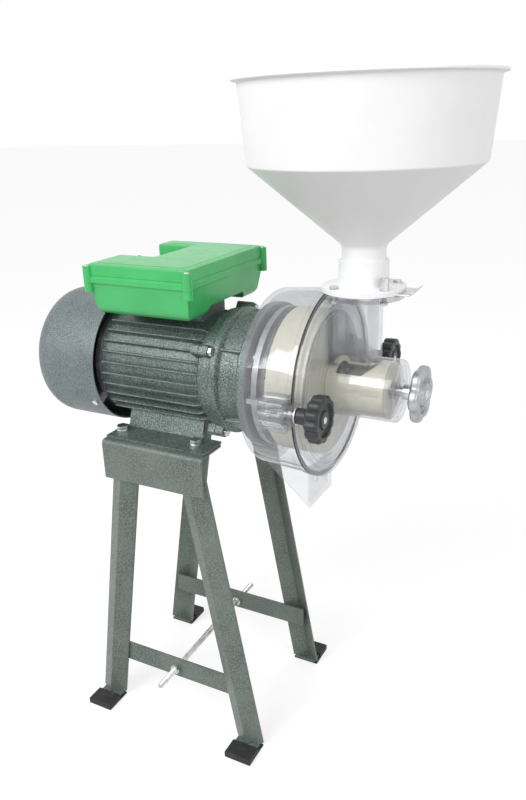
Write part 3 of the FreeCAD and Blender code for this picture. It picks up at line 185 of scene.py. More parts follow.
def arithmetic(operation, swapped=False):
    "Method that adds a Math node for an operator, or for its reflected form."
    def method(self, other):
        first, second = (other, self) if swapped else (self, other)
        return self.finish.node("ShaderNodeMath", {"operation": operation}, {0: first, 1: second})
    return method


class Value:
    "A number socket; arithmetic on it adds Math nodes."

    __add__ = arithmetic("ADD")
    __radd__ = arithmetic("ADD", True)
    __sub__ = arithmetic("SUBTRACT")
    __rsub__ = arithmetic("SUBTRACT", True)
    __mul__ = arithmetic("MULTIPLY")
    __rmul__ = arithmetic("MULTIPLY", True)
    __pow__ = arithmetic("POWER")

    def __init__(self, finish, socket):
        self.finish = finish
        self.socket = socket

    def between(self, low, high):
        "Smooth step from 0 at low to 1 at high."
        return self.finish.node("ShaderNodeMapRange", {"interpolation_type": "SMOOTHSTEP"},
                                {"Value": self, "From Min": low, "From Max": high})


class Finish:
    "One material, built from its nodes."

    def __init__(self, name):
        self.material = bpy.data.materials.new(title(name))
        self.material.use_nodes = True
        self.tree = self.material.node_tree
        self.tree.nodes.clear()
        self.out = self.tree.nodes.new("ShaderNodeOutputMaterial")
        self.place = self.node("ShaderNodeTexCoord", output="Object")

    def node(self, kind, settings=None, inputs=None, output=0):
        links = {key: value.socket if isinstance(value, Value) else value
                 for key, value in (inputs or {}).items()}
        return Value(self, tree_node(self.tree, kind, links, settings).outputs[output])

    def noise(self, grain, detail=2.0, stretch=(1, 1, 1)):
        "Noise whose grain is a size in metres; stretch makes it longer along an axis."
        where = self.place
        if stretch != (1, 1, 1):
            where = self.node("ShaderNodeMapping", None,
                              {"Vector": self.place, "Scale": [1 / s for s in stretch]})
        return self.node("ShaderNodeTexNoise", None, {"Vector": where, "Scale": 1 / grain, "Detail": detail})

    def cells(self, grain):
        return self.node("ShaderNodeTexVoronoi", {"feature": "SMOOTH_F1"},
                         {"Vector": self.place, "Scale": 1 / grain}, "Distance")

    def blend(self, share, first, second):
        "Colour between two colours."
        return self.node("ShaderNodeMix", {"data_type": "RGBA"}, {0: share, 6: first, 7: second}, 2)

    def bump(self, height, depth):
        "Normal from a height between 0 and 1; depth is in metres."
        return self.node("ShaderNodeBump", None,
                         {"Height": height, "Distance": depth, "Strength": 1.0}, "Normal")

    def surface(self, **inputs):
        named = {key.replace("_", " ").title(): value for key, value in inputs.items()}
        return self.node("ShaderNodeBsdfPrincipled", None, named)

    def coated(self, colour, rough, height, depth, **more):
        "Finished material of one shader, whose normal comes from a height."
        return self.finished(self.surface(base_color=colour, roughness=rough,
                                          normal=self.bump(height, depth), **more))

    def mixed(self, share, first, second):
        return self.node("ShaderNodeMixShader", None, {0: share, 1: first, 2: second})

    def finished(self, shader):
        self.tree.links.new(shader.socket, self.out.inputs["Surface"])
        return self.material


def rgba(colour, share=1.0):
    return (colour[0] * share, colour[1] * share, colour[2] * share, 1.0)


def hammered(name, dark, light, grain, depth, metal, rough):
    """Hammer paint: shallow cells whose raised tops carry a painted highlight over darker hollows, in a
    slightly metallic coat.
    """
    paint = Finish(name)
    cells = paint.noise(grain, 3.0)
    # Painted highlight: the raised tops of the cells take the light colour, and the hollows keep the darker
    # ground as painted shade.
    lit_tops = cells.between(0.40, 0.66)
    cloud = paint.noise(grain * 30, 2.0)
    ground = paint.blend(cloud.between(0.3, 0.7), rgba(dark, 0.8), rgba(dark, 1.25))
    colour = paint.blend(lit_tops, ground, rgba(light))
    return paint.coated(colour, rough - 0.12 * lit_tops, cells, depth, metallic=metal)


def stand_paint(looks):
    return hammered("stand_paint", looks.stand.paint_dark, looks.stand.paint_highlight, looks.stand.cell,
                    0.14 * MM, 0.2, 0.46)


def motor_paint(looks):
    return hammered("motor_paint", looks.motor.paint_dark, looks.motor.paint_highlight, looks.motor.fleck,
                    0.45 * MM, 0.4, 0.42)


def cowl_paint(looks):
    return hammered("cowl_paint", looks.motor.cowl_dark, looks.motor.cowl_highlight, looks.motor.fleck * 0.8,
                    0.22 * MM, 0.3, 0.46)


# Dark tone, light tone, grain, stretch and depth of the grain, roughness, share of metal
METALS = {
    "zinc_steel": ((0.50, 0.51, 0.52), (0.72, 0.73, 0.73), 0.8 * MM, (1, 1, 1), 0.03 * MM, 0.26, 1.0),
    "bare_steel": ((0.40, 0.40, 0.41), (0.58, 0.58, 0.59), 0.35 * MM, (0.2, 3, 3), 0.02 * MM, 0.24, 1.0),
    "cast_aluminium": ((0.36, 0.37, 0.38), (0.50, 0.51, 0.52), 1.1 * MM, (1, 1, 1), 0.12 * MM, 0.40, 0.9),
    "steel_laminate": ((0.24, 0.24, 0.25), (0.42, 0.42, 0.44), 0.6 * MM, (0.2, 8, 8), 0.12 * MM, 0.42, 1.0),
    "copper_winding": ((0.42, 0.16, 0.05), (0.70, 0.34, 0.13), MM, (2, 0.6, 0.6), 0.35 * MM, 0.34, 0.85),
}


def metal(name, dark, light, grain, stretch, depth, rough, full):
    "Bare or plated metal with a grain, dull patches and fine scratches."
    plate = Finish(name)
    lines = plate.noise(grain, 3.0, stretch)
    patch = plate.noise(9 * MM, 3.0).between(0.35, 0.7)
    colour = plate.blend(patch, rgba(dark), rgba(light))
    return plate.coated(colour, rough + 0.18 * patch * lines, lines, depth, metallic=full)


def grinding_stone(looks):
    stone = Finish("grinding_stone")
    grit = stone.cells(0.9 * MM)
    colour = stone.blend(grit.between(0.15, 0.6), (0.10, 0.10, 0.105, 1), (0.34, 0.34, 0.35, 1))
    return stone.coated(colour, 0.62, grit, 0.25 * MM, metallic=0.75)


def moulded(name, colour, rough, peel=2.2 * MM, depth=0.05 * MM, coat=0.0, dust=0.0):
    "Moulded plastic: slow colour drift, fine orange peel and a few dull smudges."
    plastic = Finish(name)
    drift = plastic.noise(45 * MM, 3.0)
    skin = plastic.noise(peel, 2.0)
    smudge = plastic.noise(14 * MM, 4.0).between(0.5, 0.78)
    tone = plastic.blend(drift.between(0.3, 0.7), rgba(colour, 0.93), rgba(colour, 1.05))
    if dust:
        tone = plastic.blend(smudge * dust, tone, (0.45, 0.45, 0.44, 1))
    return plastic.coated(tone, rough + 0.12 * smudge, skin, depth, coat_weight=coat, coat_roughness=0.12)


def green_plastic(looks):
    return moulded("green_plastic", looks.motor.green, 0.34, coat=0.25)


def black_plastic(looks):
    return moulded("black_plastic", looks.head.knob, 0.40, peel=1.1 * MM, depth=0.08 * MM, dust=0.05)


def black_rubber(looks):
    return moulded("black_rubber", (0.018, 0.018, 0.019), 0.66, peel=1.4 * MM, depth=0.12 * MM, dust=0.10)


def grey_plastic(looks):
    return moulded("grey_plastic", (0.30, 0.31, 0.32), 0.45)


def cream_plastic(looks):
    "Cream moulding with faint darker streaks left by flour and bran."
    cream = Finish("cream_plastic")
    streaks = cream.noise(2.4 * MM, 4.0, (9, 1, 1)).between(0.52, 0.74)
    specks = cream.noise(1.3 * MM, 3.0).between(0.66, 0.74)
    colour = cream.blend(0.35 * streaks, rgba(looks.head.cream), rgba(looks.head.cream, 0.72))
    colour = cream.blend(0.5 * specks, colour, (0.42, 0.30, 0.16, 1))
    return cream.coated(colour, 0.38 + 0.2 * streaks, streaks, 0.10 * MM,
                        subsurface_weight=0.08, subsurface_scale=2 * MM)


def white_plastic(looks):
    "Thin white polyethylene, a little translucent, with a faint drawn texture."
    white = Finish("white_plastic")
    drift = white.noise(70 * MM, 3.0)
    skin = white.noise(1.6 * MM, 2.0, (1, 1, 4))
    tone = looks.hopper.white
    colour = white.blend(drift.between(0.35, 0.65), rgba(tone, 0.975), rgba(tone))
    return white.coated(colour, 0.36 + 0.08 * drift, skin, 0.04 * MM,
                        subsurface_weight=0.12, subsurface_scale=4 * MM)


def clear_plastic(looks):
    "Clear moulding: see-through, darker at grazing angles, with faint smears and gloss."
    clear = Finish("clear_plastic")
    edge = clear.node("ShaderNodeLayerWeight", None, {"Blend": 0.5}, "Facing")
    shine = 0.045 + 0.55 * edge ** 5.0
    smears = clear.noise(16 * MM, 4.0).between(0.45, 0.8)
    ripple = clear.noise(30 * MM, 1.0)
    normal = clear.bump(ripple, 0.6 * MM)
    body = clear.surface(base_color=rgba(looks.head.haze), roughness=0.30 + 0.2 * smears, normal=normal)
    through = clear.node("ShaderNodeBsdfTransparent", None, {"Color": rgba(looks.head.clear)})
    share = 0.07 + 0.06 * smears + 0.6 * edge ** 3.0
    gloss = clear.surface(base_color=(1, 1, 1, 1), metallic=1.0, roughness=0.07, normal=normal)
    return clear.finished(clear.mixed(shine, clear.mixed(share, through, body), gloss))


FINISHES = {maker.__name__: maker for maker in (
    stand_paint, motor_paint, cowl_paint, grinding_stone, green_plastic, black_plastic, black_rubber,
    grey_plastic, cream_plastic, white_plastic, clear_plastic)}


def finish(name):
    "The material of that name, made when it is first asked for."
    made = bpy.data.materials.get(title(name))
    if made:
        return made
    if name in METALS:
        return metal(name, *METALS[name])
    return FINISHES[name](bpy.context.scene.grain_mill)


def title(name):
    "Material's own name, apart from the plain ones that come with the frame."
    return name.replace("_", " ").capitalize()


# Meshes

def eased(corners, closed=True, turn=15.0, steps=None):
    "Outline through (a, b) or (a, b, rounding) corners, each rounding laid in as an arc."
    points = []
    last = len(corners) - 1
    for i, corner in enumerate(corners):
        here = Vector(corner[:2])
        radius = corner[2] if len(corner) > 2 else 0.0
        if not radius or (not closed and i in (0, last)):
            points.append(here)
            continue
        back = Vector(corners[i - 1][:2]) - here
        ahead = Vector(corners[(i + 1) % len(corners)][:2]) - here
        opening = back.angle(ahead)
        reach = min(radius / tan(opening / 2), 0.49 * back.length, 0.49 * ahead.length)
        radius = reach * tan(opening / 2)
        start = here + back.normalized() * reach
        end = here + ahead.normalized() * reach
        inward = (back.normalized() + ahead.normalized()).normalized()
        centre = here + inward * (radius / sin(opening / 2))
        bend = pi - opening
        count = steps or max(2, round(degrees(bend) / turn))
        arm = start - centre
        way = 1 if arm.cross(end - centre) > 0 else -1
        for step in range(count + 1):
            points.append(centre + Matrix.Rotation(way * bend * step / count, 2) @ arm)
    return points


# Vertices nearer than this, in metres, are merged
WELD = 0.002 * MM


def linked(name, data):
    "Object in the scene, at the origin."
    made = bpy.data.objects.new(name, data)
    bpy.context.scene.collection.objects.link(made)
    return made


def placed(name, work):
    "Object with the mesh that was worked on."
    mesh = bpy.data.meshes.new(name)
    work.to_mesh(mesh)
    work.free()
    return linked(name, mesh)


def welded(vertices, faces):
    "Mesh to work on, from vertices in metres, with its doubles merged."
    mesh = bpy.data.meshes.new("loose")
    mesh.from_pydata(vertices, [], faces)
    work = bmesh.new()
    work.from_mesh(mesh)
    bpy.data.meshes.remove(mesh)
    bmesh.ops.remove_doubles(work, verts=work.verts, dist=WELD)
    return work


def new_piece(name, vertices, faces):
    "Piece from millimetre vertices, with its faces outwards."
    work = welded([Vector(v) * MM for v in vertices], faces)
    bmesh.ops.recalc_face_normals(work, faces=work.faces)
    return placed(name, work)


def turned(name, corners, centre=(0, 0, 0), axis="X", steps=96, wave=None, turn=15.0, closed=True):
    "Body of revolution from (along, radius, rounding) corners about an axis through centre."
    outline = eased(corners, closed, turn)
    vertices = []
    for i in range(steps):
        angle = 2 * pi * i / steps
        for along, radius in outline:
            reach = wave(angle, radius) if wave else radius
            across, up = reach * cos(angle), reach * sin(angle)
            spot = Vector((along, across, up) if axis == "X" else (across, up, along))
            vertices.append(spot + Vector(centre))
    rings = len(outline)
    faces = []
    for i in range(steps):
        for j in range(rings):
            a, b = i * rings, (i + 1) % steps * rings
            faces.append((a + j, a + (j + 1) % rings, b + (j + 1) % rings, b + j))
    return new_piece(name, vertices, faces)


def pin(name, corners, centre=(0, 0, 0), axis="X", steps=28):
    "Turned body that is solid to its axis, where its outline starts and ends."
    return turned(name, corners, centre, axis, steps, closed=False)


def lofted(name, sections):
    "Closed skin through loops of as many points each, with flat ends."
    count = len(sections[0])
    if any(len(section) != count for section in sections):
        raise ValueError(name + " has sections of different counts")
    vertices = [point for section in sections for point in section]
    faces = [tuple(reversed(range(count)))]
    for level in range(len(sections) - 1):
        for j in range(count):
            low, high = level * count, (level + 1) * count
            faces.append((low + j, low + (j + 1) % count, high + (j + 1) % count, high + j))
    top = (len(sections) - 1) * count
    faces.append(tuple(range(top, top + count)))
    return new_piece(name, vertices, faces)


def prism(name, outline, ends):
    "Upright outline of (y, z) points drawn along X."
    return lofted(name, [[(x, y, z) for y, z in outline] for x in ends])


def rounded_block(name, x, y, z, radius):
    "Block between two values on each axis, with its edges rounded."
    corners = ((x[0], y[0]), (x[1], y[0]), (x[1], y[1]), (x[0], y[1]))
    block = lofted(name, [[(a, b, level) for a, b in corners] for level in z])
    return bevelled(block, radius)


def baked(piece):
    "Piece with its modifiers made into plain mesh."
    graph = bpy.context.evaluated_depsgraph_get()
    mesh = bpy.data.meshes.new_from_object(piece.evaluated_get(graph), preserve_all_data_layers=True,
                                           depsgraph=graph)
    piece.modifiers.clear()
    piece.data = mesh
    return piece


def bevelled(piece, width, segments=2, limit=32.0):
    edges = piece.modifiers.new("Round edges", "BEVEL")
    edges.width = width * MM
    edges.segments = segments
    edges.limit_method = "ANGLE"
    edges.angle_limit = radians(limit)
    return baked(piece)


def softened(node, width, segments=2):
    "Copy of a node's shape with its sharp edges rounded."
    source = frame["nodes"][node].data
    work = welded([v.co for v in source.vertices], [tuple(p.vertices) for p in source.polygons])
    bmesh.ops.dissolve_limit(work, angle_limit=radians(0.7), verts=work.verts, edges=work.edges)
    return bevelled(placed(node + "_shape", work), width, segments)


def combined(piece, others, operation):
    "Piece with the others cut away, DIFFERENCE, or joined on, UNION."
    for other in others:
        step = piece.modifiers.new(other.name, "BOOLEAN")
        step.operation = operation
        step.solver = "EXACT"
        step.object = other
    baked(piece)
    for other in others:
        bpy.data.objects.remove(other)
    return piece


def merged(name, pieces):
    "One object from several, each still a closed skin."
    work = bmesh.new()
    for piece in pieces:
        work.from_mesh(piece.data)
        bpy.data.objects.remove(piece)
    return placed(name, work)


def dressed(piece, slot, *nodes, name=None, body=None, sharp=38.0, material=None):
    "Gives a piece its finish, body and slot, and hides the nodes it stands for."
    piece.name = name or (nodes[0] + "_skin" if nodes else piece.name)
    piece.data.name = piece.name
    piece.data.materials.clear()
    piece.data.materials.append(finish(material or slot))
    piece.data.shade_smooth()
    piece.data.set_sharp_from_angle(angle=radians(sharp))
    even = piece.modifiers.new("Even shading", "WEIGHTED_NORMAL")
    even.keep_sharp = True
    baked(piece)
    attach(piece, body or frame["nodes"][nodes[0]]["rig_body"])
    if nodes:
        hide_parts(*nodes)


def trimmed(slot, width, *nodes, segments=2, sharp=38.0):
    "Dresses copies of nodes, with their sharp edges rounded by millimetres."
    for node in nodes:
        dressed(softened(node, width, segments), slot, node, sharp=sharp)


# Geometry Nodes for what repeats

def new_tree(name, inputs):
    tree = bpy.data.node_groups.new(name, "GeometryNodeTree")
    tree.interface.new_socket("Geometry", in_out="INPUT", socket_type="NodeSocketGeometry")
    for label, kind in inputs:
        tree.interface.new_socket(label, in_out="INPUT", socket_type="NodeSocket" + kind)
    tree.interface.new_socket("Geometry", in_out="OUTPUT", socket_type="NodeSocketGeometry")
    return tree


def close_tree(tree, points, given, turn=None):
    "Instances the given shape on the points, makes them real and sets their material."
    links = {"Points": points, "Instance": given["Geometry"]}
    if turn:
        links["Rotation"] = turn
    copies = tree_node(tree, "GeometryNodeInstanceOnPoints", links)
    real = tree_node(tree, "GeometryNodeRealizeInstances", {"Geometry": copies.outputs[0]})
    painted = tree_node(tree, "GeometryNodeSetMaterial",
                        {"Geometry": real.outputs[0], "Material": given["Material"]})
    tree_node(tree, "NodeGroupOutput", {0: painted.outputs[0]})


def ring_tree():
    "Copies turned about an axis, a step apart."
    name = "Repeat round an axis"
    if name in bpy.data.node_groups:
        return bpy.data.node_groups[name]
    tree = new_tree(name, [("Count", "Int"), ("First angle", "Float"), ("Step", "Float"), ("Axis", "Vector"),
                           ("Centre", "Vector"), ("Material", "Material")])
    given = tree_node(tree, "NodeGroupInput").outputs
    points = tree_node(tree, "GeometryNodePoints", {"Count": given["Count"], "Position": given["Centre"]})
    index = tree_node(tree, "GeometryNodeInputIndex")
    terms = {0: index.outputs[0], 1: given["Step"], 2: given["First angle"]}
    angle = tree_node(tree, "ShaderNodeMath", terms, {"operation": "MULTIPLY_ADD"})
    turn = tree_node(tree, "ShaderNodeVectorMath",
                     {0: given["Axis"], "Scale": angle.outputs[0]}, {"operation": "SCALE"})
    close_tree(tree, points.outputs[0], given, turn.outputs[0])
    return tree


def grid_tree():
    "Copies on a rectangle of columns and rows, square to Z."
    name = "Repeat on a rectangle"
    if name in bpy.data.node_groups:
        return bpy.data.node_groups[name]
    tree = new_tree(name, [("Columns", "Int"), ("Rows", "Int"), ("Length", "Float"), ("Width", "Float"),
                           ("Centre", "Vector"), ("Material", "Material")])
    given = tree_node(tree, "NodeGroupInput").outputs
    grid = tree_node(tree, "GeometryNodeMeshGrid",
                     {"Size X": given["Length"], "Size Y": given["Width"],
                      "Vertices X": given["Columns"], "Vertices Y": given["Rows"]})
    shifted = tree_node(tree, "GeometryNodeTransform",
                        {"Geometry": grid.outputs["Mesh"], "Translation": given["Centre"]})
    close_tree(tree, shifted.outputs[0], given)
    return tree


def run_tree(piece, tree, values):
    step = piece.modifiers.new(tree.name, "NODES")
    step.node_group = tree
    for item in tree.interface.items_tree:
        if item.in_out == "INPUT" and item.name in values:
            step[item.identifier] = values[item.name]
    return baked(piece)


def round_axis(piece, count, centre, slot, first=0.0, step=None):
    "Copies about a line along X of a piece that is modelled about the origin; degrees and millimetres."
    return run_tree(piece, ring_tree(), {
        "Count": count, "First angle": radians(first), "Step": radians(step or 360.0 / count),
        "Axis": Vector((1, 0, 0)), "Centre": Vector(centre) * MM, "Material": finish(slot)})


def on_rectangle(piece, columns, rows, length, width, centre, slot):
    return run_tree(piece, grid_tree(), {
        "Columns": columns, "Rows": rows, "Length": length * MM, "Width": width * MM,
        "Centre": Vector(centre) * MM, "Material": finish(slot)})


# Places read from the frame, in millimetres
SHAFT_Z = joint_height("rotor_spin")
SHAFT = (0, 0, SHAFT_Z)
COWL_BACK, COWL_EDGE = span("fan_cowl", "X")
HOUSING_END = span("motor_housing", "X")[1]
SHIELD_END = span("front_end_shield", "X")[1]
CHAMBER_BACK, CHAMBER_FRONT = span("grinding_chamber", "X")
COVER_BACK = span("front_cover", "X")[0]
TUBE_END = span("feed_tube", "X")[1]
WHEEL_BACK, WHEEL_FRONT = span("handwheel", "X")
HOPPER_X = middle("hopper", "X")

KNOBS = ("star_knob_near", "star_knob_far")

# Ears and lugs that take the motor's through bolts; the first one's turn from upright is in degrees
EAR_COUNT = 4
EAR_FIRST = 58
EAR_WIDTH = 13.0
EAR_CIRCLE = 82.0
EAR_ROOT = 66.0


class MILL_OT_hopper(bpy.types.Operator):
    """Round hopper with a flared lip"""
    bl_idname = "mill.hopper"
    bl_label = "Hopper"

    neck = 24.4
    neck_top = 672.7
    waist = 126.2
    waist_z = 759.0
    top = 133.5
    neck_bend = 9.0
    mouth_edge = 0.7

    def execute(self, context):
        looks = context.scene.grain_mill.hopper
        wall = looks.wall / MM
        lip = looks.lip / MM
        low, high = span("hopper", "Z")
        reach = span("hopper", "X")[1] - HOPPER_X
        outside = [(low, self.neck, self.mouth_edge), (self.neck_top, self.neck, self.neck_bend),
                   (self.waist_z - 1.5, self.waist - 1.6, 3.0), (self.waist_z, self.waist, 3.0),
                   (high - lip, self.top, 2.5), (high - lip + 1.2, reach, 0.9), (high, reach, 1.4)]
        inside = [(high - 0.4, self.top - wall, 2.0), (self.waist_z + 1, self.waist - wall, 6.0),
                  (self.neck_top + 2, self.neck - wall, self.neck_bend),
                  (low, self.neck - wall, self.mouth_edge)]
        hopper = turned("hopper_skin", outside + inside, (HOPPER_X, 0, 0), "Z", 160)
        dressed(hopper, "white_plastic", "hopper")
        return {"FINISHED"}


class MILL_OT_cowl(bpy.types.Operator):
    """Domed fan cowl with two rings of air slots"""
    bl_idname = "mill.cowl"
    bl_label = "Fan cowl"

    wall = 1.6
    shoulder = 30.0
    slot_width = 5.0
    inner_slots = (10, 18.0, 37.0, 8.0)
    outer_slots = (20, 43.0, 62.0, 30.0)

    def slots(self, count, inner, outer, depth):
        "Ring of cutters with round ends, between two distances from the shaft."
        half = self.slot_width / 2
        end = half * 0.98
        outline = eased([(-half, inner, end), (half, inner, end), (half, outer, end), (-half, outer, end)],
                        turn=30.0)
        cutter = prism("slot", outline, (-2.0, depth))
        return round_axis(cutter, count, (COWL_BACK, 0, SHAFT_Z), "motor_paint")

    def execute(self, context):
        radius = span("fan_cowl", "Z")[1] - SHAFT_Z
        inner = radius - self.wall
        corners = [(COWL_BACK, 0.0), (COWL_BACK, radius, self.shoulder), (COWL_EDGE, radius, 0.6),
                   (COWL_EDGE, inner, 0.6), (COWL_BACK + self.wall, inner, self.shoulder - self.wall),
                   (COWL_BACK + self.wall, 0.0)]
        cowl = turned("fan_cowl_skin", corners, SHAFT, steps=144, turn=6.0)
        cutters = [self.slots(*self.inner_slots), self.slots(*self.outer_slots)]
        cowl = combined(cowl, cutters, "DIFFERENCE")
        dressed(cowl, "motor_paint", "fan_cowl", material="cowl_paint")
        return {"FINISHED"}


class MILL_OT_housing(bpy.types.Operator):
    """Motor housing with fins on both flanks, its lugs and the box seat"""
    bl_idname = "mill.housing"
    bl_label = "Motor housing"

    radius = 70.0
    bore = 64.0
    collar = 73.5
    fin_reach = 78.5
    fin_back_gap = 6.0
    fin_front_gap = 3.0
    fin_ramp = 0.8
    pitch = 10.5
    above = 5
    lug = 11.0
    seat_length = 110.0
    seat_width = 56.0

    def fin(self, looks):
        "Fin with a rounded back and a dropped front end, modelled upright about the shaft."
        root, tip = looks.fin_root / MM / 2, looks.fin_tip / MM / 2
        start, end = COWL_EDGE + self.fin_back_gap, HOUSING_END - self.fin_front_gap
        ramp = self.fin_ramp
        sections = []
        for x, rise in ((start, 0.0), (start + ramp, ramp), (end - 11, ramp), (end - 5, -0.4), (end, -5.0)):
            top = self.fin_reach - ramp + rise
            outline = eased([(-root, self.radius - 2), (root, self.radius - 2), (tip, top, tip * 0.9),
                             (-tip, top, tip * 0.9)], steps=4)
            sections.append([(x, y, z) for y, z in outline])
        return lofted("fin", sections)

    def fins(self, looks, first):
        return round_axis(self.fin(looks), looks.fin_count, SHAFT, "motor_paint", first, self.pitch)

    def execute(self, context):
        looks = context.scene.grain_mill.motor
        corners = [(COWL_EDGE, self.bore, 0.5), (COWL_EDGE, self.radius, 0.8),
                   (HOUSING_END - 8, self.radius, 2.0), (HOUSING_END - 5.5, self.collar, 1.2),
                   (HOUSING_END, self.collar, 0.6), (HOUSING_END, self.bore, 0.5)]
        barrel = turned("barrel", corners, SHAFT, steps=128)
        first = 90.0 - self.pitch * self.above
        last = first + self.pitch * (looks.fin_count - 1)
        lugs = ears("lug", HOUSING_END - self.lug, HOUSING_END)
        middle_x = (COWL_EDGE + HOUSING_END) / 2
        seat = rounded_block("seat", (middle_x - self.seat_length / 2, middle_x + self.seat_length / 2),
                             (-self.seat_width / 2, self.seat_width / 2),
                             (SHAFT_Z + self.radius - 6, span("motor_housing", "Z")[1]), 2.0)
        fins = [self.fins(looks, first), self.fins(looks, -last)]
        housing = merged("motor_housing_skin", [barrel] + fins + [lugs, seat])
        dressed(housing, "motor_paint", "motor_housing")
        return {"FINISHED"}


def ears(name, start, end):
    "Ears with rounded tips, one for each through bolt."
    half = EAR_WIDTH / 2
    tip = EAR_CIRCLE + half
    outline = eased([(-half - 1.5, EAR_ROOT), (half + 1.5, EAR_ROOT), (half, tip, half * 0.6),
                     (-half, tip, half * 0.6)], turn=20.0)
    ear = bevelled(prism(name, outline, (start, end)), 0.8, 2, 50.0)
    return round_axis(ear, EAR_COUNT, SHAFT, "motor_paint", EAR_FIRST)


def hexagon(name, flats, height):
    "Hexagon head with its crown drawn in, standing on the origin plane along X."
    reach = flats / 2 / cos(radians(30))
    turns = [radians(60 * i) for i in range(6)]
    ring = [(reach * cos(turn), reach * sin(turn)) for turn in turns]
    head = lofted(name, [[(level, a * share, b * share) for a, b in ring]
                         for level, share in ((0.0, 1.0), (height * 0.86, 1.0), (height, 0.88))])
    return bevelled(head, 0.35, 2, 20.0)


def gripped(count, start, length, depth, lobe):
    "Radius of a rim with grips, which fade in from a start radius over a length."
    def reach(angle, radius):
        share = min(max((radius - start) / length, 0.0), 1.0)
        return radius - share * depth * (1 - lobe(cos(count * angle / 2)))
    return reach


def moved(piece, offset):
    "Shifts a piece's mesh by millimetres."
    piece.data.transform(Matrix.Translation(Vector(offset) * MM))
    return piece


class MILL_OT_shield(bpy.types.Operator):
    """Front end shield with its stepped rim, ribbed neck and bolted ears"""
    bl_idname = "mill.shield"
    bl_label = "Front end shield"

    rim = 80.0
    rim_step = 77.0
    neck = 71.0
    flange = 90.0
    bore = 23.5
    hollow = 66.0
    bearing_hole = 18.0
    ear_length = 12.0
    rib_half = 1.7
    rib_top = 78.0
    rib_count = 5
    rib_first = 54
    bolt_radius = 3
    bolt_flats = 10.0
    bolt_head = 4.5

    def execute(self, context):
        start, end = HOUSING_END, SHIELD_END
        flange_start = end - 11.0
        neck_start = start + 25.0
        corners = [(start, self.bore, 0.4), (start, self.rim_step, 1.4), (start + 12, self.rim_step, 1.0),
                   (start + 13.5, self.rim, 1.6), (neck_start - 4, self.rim, 3.0), (neck_start, 74.5, 3.0),
                   (flange_start - 8, self.neck, 6.0), (flange_start, 84.0, 2.5),
                   (flange_start, self.flange, 1.4), (end, self.flange, 1.2), (end, self.bearing_hole, 0.4),
                   (end - 5, self.bearing_hole, 0.4), (end - 5, self.hollow, 3.0),
                   (start + 22, self.hollow, 3.0), (start + 22, self.bore, 0.4)]
        shell = turned("shell", corners, SHAFT, steps=128)
        half, root = self.rib_half, self.neck - 3
        outline = eased([(-half - 0.8, root), (half + 0.8, root), (half, self.rib_top, 1.4),
                         (-half, self.rib_top, 1.4)], steps=4)
        rib = lofted("rib", [[(x, y, z if z < 72 else z - drop) for y, z in outline]
                             for x, drop in ((neck_start - 3, 1.0), (neck_start, 0), (flange_start - 2, 0.5),
                                             (flange_start + 2, 0.5))])
        ribs = round_axis(rib, self.rib_count, SHAFT, "motor_paint", self.rib_first)
        seat = start + self.ear_length
        shield = merged("front_end_shield_skin", [shell, ribs, ears("ear", start, seat)])
        dressed(shield, "motor_paint", "front_end_shield")
        head = moved(hexagon("shield_bolt", self.bolt_flats, self.bolt_head), (seat, 0, EAR_CIRCLE))
        first, last, radius = start - 9, seat + 0.2, self.bolt_radius
        shank = pin("shank", [(first, 0), (first, radius, 0.5), (last, radius), (last, 0)],
                    (0, 0, EAR_CIRCLE), steps=24)
        bolts = round_axis(merged("bolt", [head, shank]), EAR_COUNT, SHAFT, "zinc_steel", EAR_FIRST)
        dressed(bolts, "zinc_steel", "shield_bolts", sharp=30)
        return {"FINISHED"}


